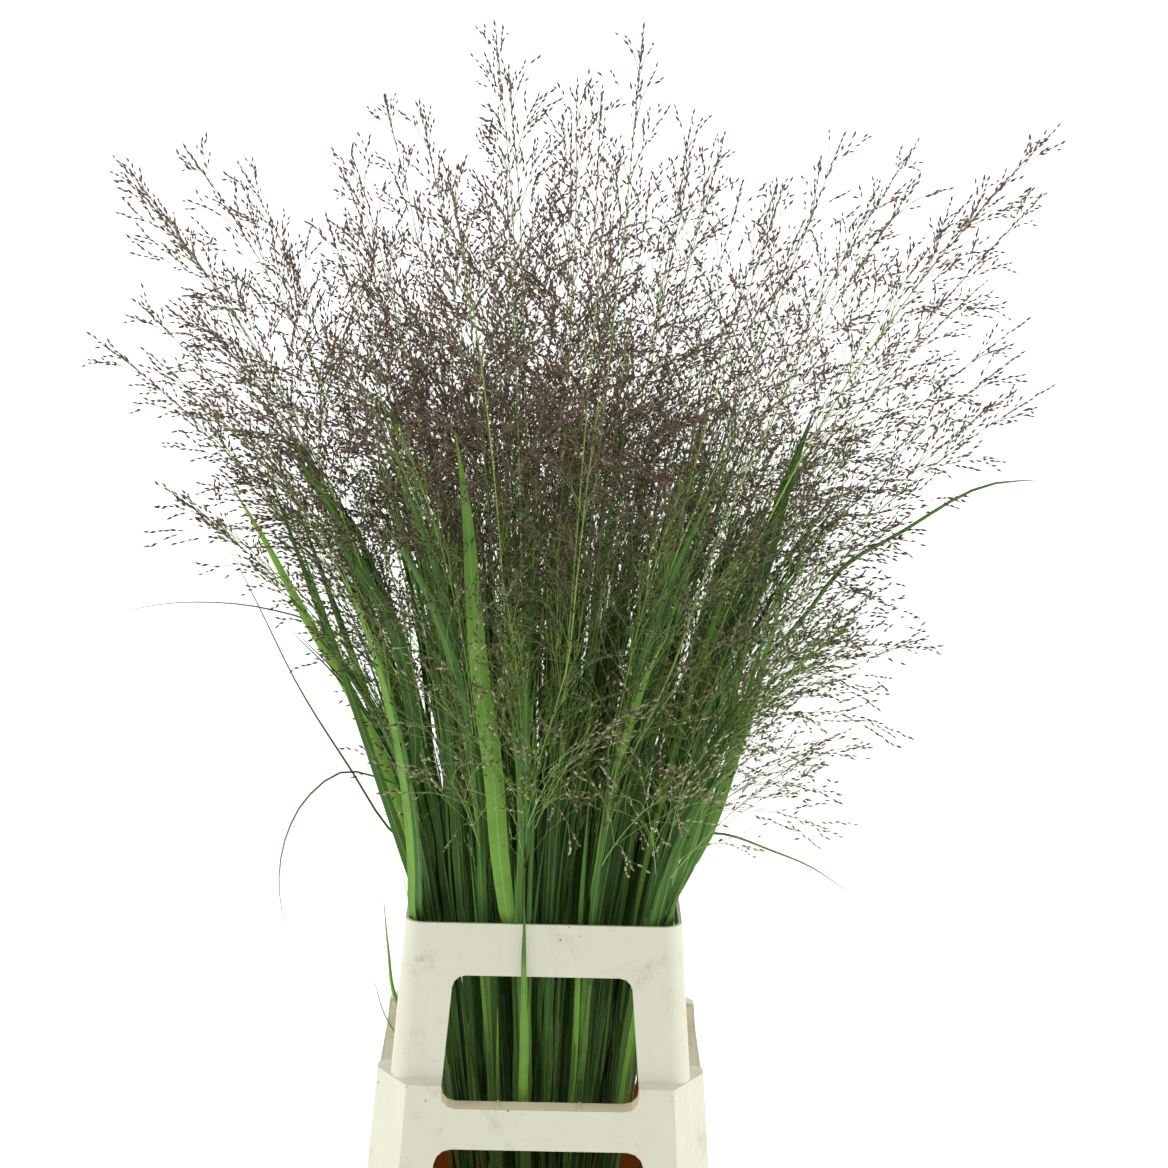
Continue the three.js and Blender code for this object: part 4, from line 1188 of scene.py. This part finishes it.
def grow_head(stem, points, chance, runs):
    """The axis of a panicle and all that stands on it."""
    thick = np.array([stem.radius(z) for z in points[:, 2]])
    runs.add(points, thick, bearing(len(points) - 1, AXIS_BARE), 0.0)
    habit = dict(RIPE_HEAD)
    if stem.panicle < SHORT_HEAD:
        habit["longest"] *= SHORT_HEAD_TWIGS
    grow_spray(points[points[:, 2] >= stem.neck - 1], stem.turn, habit, 0.0, chance, runs)


def side_line(stem, shoot):
    """The way of a shoot that leaves its stem above the rim and stands beside it higher up."""
    points = []
    for z in np.linspace(RIM_Z + SIDE_LEAVES, shoot.top, 2 * AXIS_STEPS + 1):
        part = min(1, (z - RIM_Z - SIDE_LEAVES) / SIDE_CLEAR)
        part = part * part * (3 - 2 * part)
        points.append(stem.at(z) * (1 - part) + shoot.at(z) * part)
    return np.array(points)


def grow_panicle(stem):
    """All heads and shoots of one stem, in the order of their random draws."""
    chance = np.random.default_rng(stem.i)
    runs = Runs()
    axis = np.array([stem.at(z) for z in np.linspace(stem.neck, stem.top, AXIS_STEPS + 1)])
    grow_head(stem, axis, chance, runs)
    if stem.i in LEAD_HEADS:
        lead = LEAD_HEADS[stem.i]
        shoot = Stem(stem.i, lead["aside"])
        shoot.top = lead["top"]
        shoot.bend = lead.get("bend", shoot.bend)
        shoot.neck = shoot.top - shoot.panicle
        grow_head(shoot, side_line(stem, shoot), chance, runs)
    if stem.outer:
        for side in LEFT_HEADS if math.cos(stem.turn) < LEFT_FROM else SIDE_HEADS:
            shoot = Stem(stem.i, **side)
            grow_head(shoot, side_line(stem, shoot), chance, runs)
        azimuth = stem.turn + chance.uniform(-SHOOT_AZIMUTH, SHOOT_AZIMUTH)
        height = SHOOT_HEIGHT - SHOOT_HEIGHT_LEFT * math.cos(azimuth) + chance.uniform(*SHOOT_HEIGHT_SPREAD)
        low_shoot(stem, azimuth, height, chance, runs)
        for more in MORE_SHOOTS:
            facing = more["way"][0] * math.cos(stem.turn) + more["way"][1] * math.sin(stem.turn)
            for _ in range(more["count"] if facing > more["from"] else 0):
                azimuth = stem.turn + chance.uniform(-more["azimuth"], more["azimuth"])
                low_shoot(stem, azimuth, chance.uniform(*more["height"]), chance, runs)
    for _ in range(YOUNG_PER_STEM):
        young_head(stem, chance, runs)
    return runs


def sprayed(runs, name, settings):
    """The plain mesh that the spray tree makes of the runs, without the empty slot that its cones leave."""
    grown = runs.object(f"{name}_runs")
    modifier = grown.modifiers.new("spray", "NODES")
    modifier.node_group = spray.tree
    for words, value in settings.items():
        modifier[spray.named[words]] = value
    seen = grown.evaluated_get(bpy.context.evaluated_depsgraph_get())
    mesh = bpy.data.meshes.new_from_object(seen)
    mesh.name = name
    mesh.materials.pop(index=list(mesh.materials).index(None))
    bpy.data.objects.remove(grown)
    return mesh


spray = spray_tree()
spray_settings = {
    "Twig sides": 3, "Spikelet spacing": SPIKELET_SPACING * MM, "Spikelet length": SPIKELET_LENGTH * MM,
    "Spikelet width": SPIKELET_WIDTH * MM, "Least lean": SPIKELET_LEAN[0], "Most lean": SPIKELET_LEAN[1],
    "Twig finish": twig_finish(), "Spikelet finish": spikelet_finish(),
}
for stem in stems:
    name = f"panicle_{stem.name}"
    panicle = placed(name, sprayed(grow_panicle(stem), name, {**spray_settings, "Seed": 10 * stem.i}))
    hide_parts(f"stem_{stem.name}")
    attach(panicle, "root")
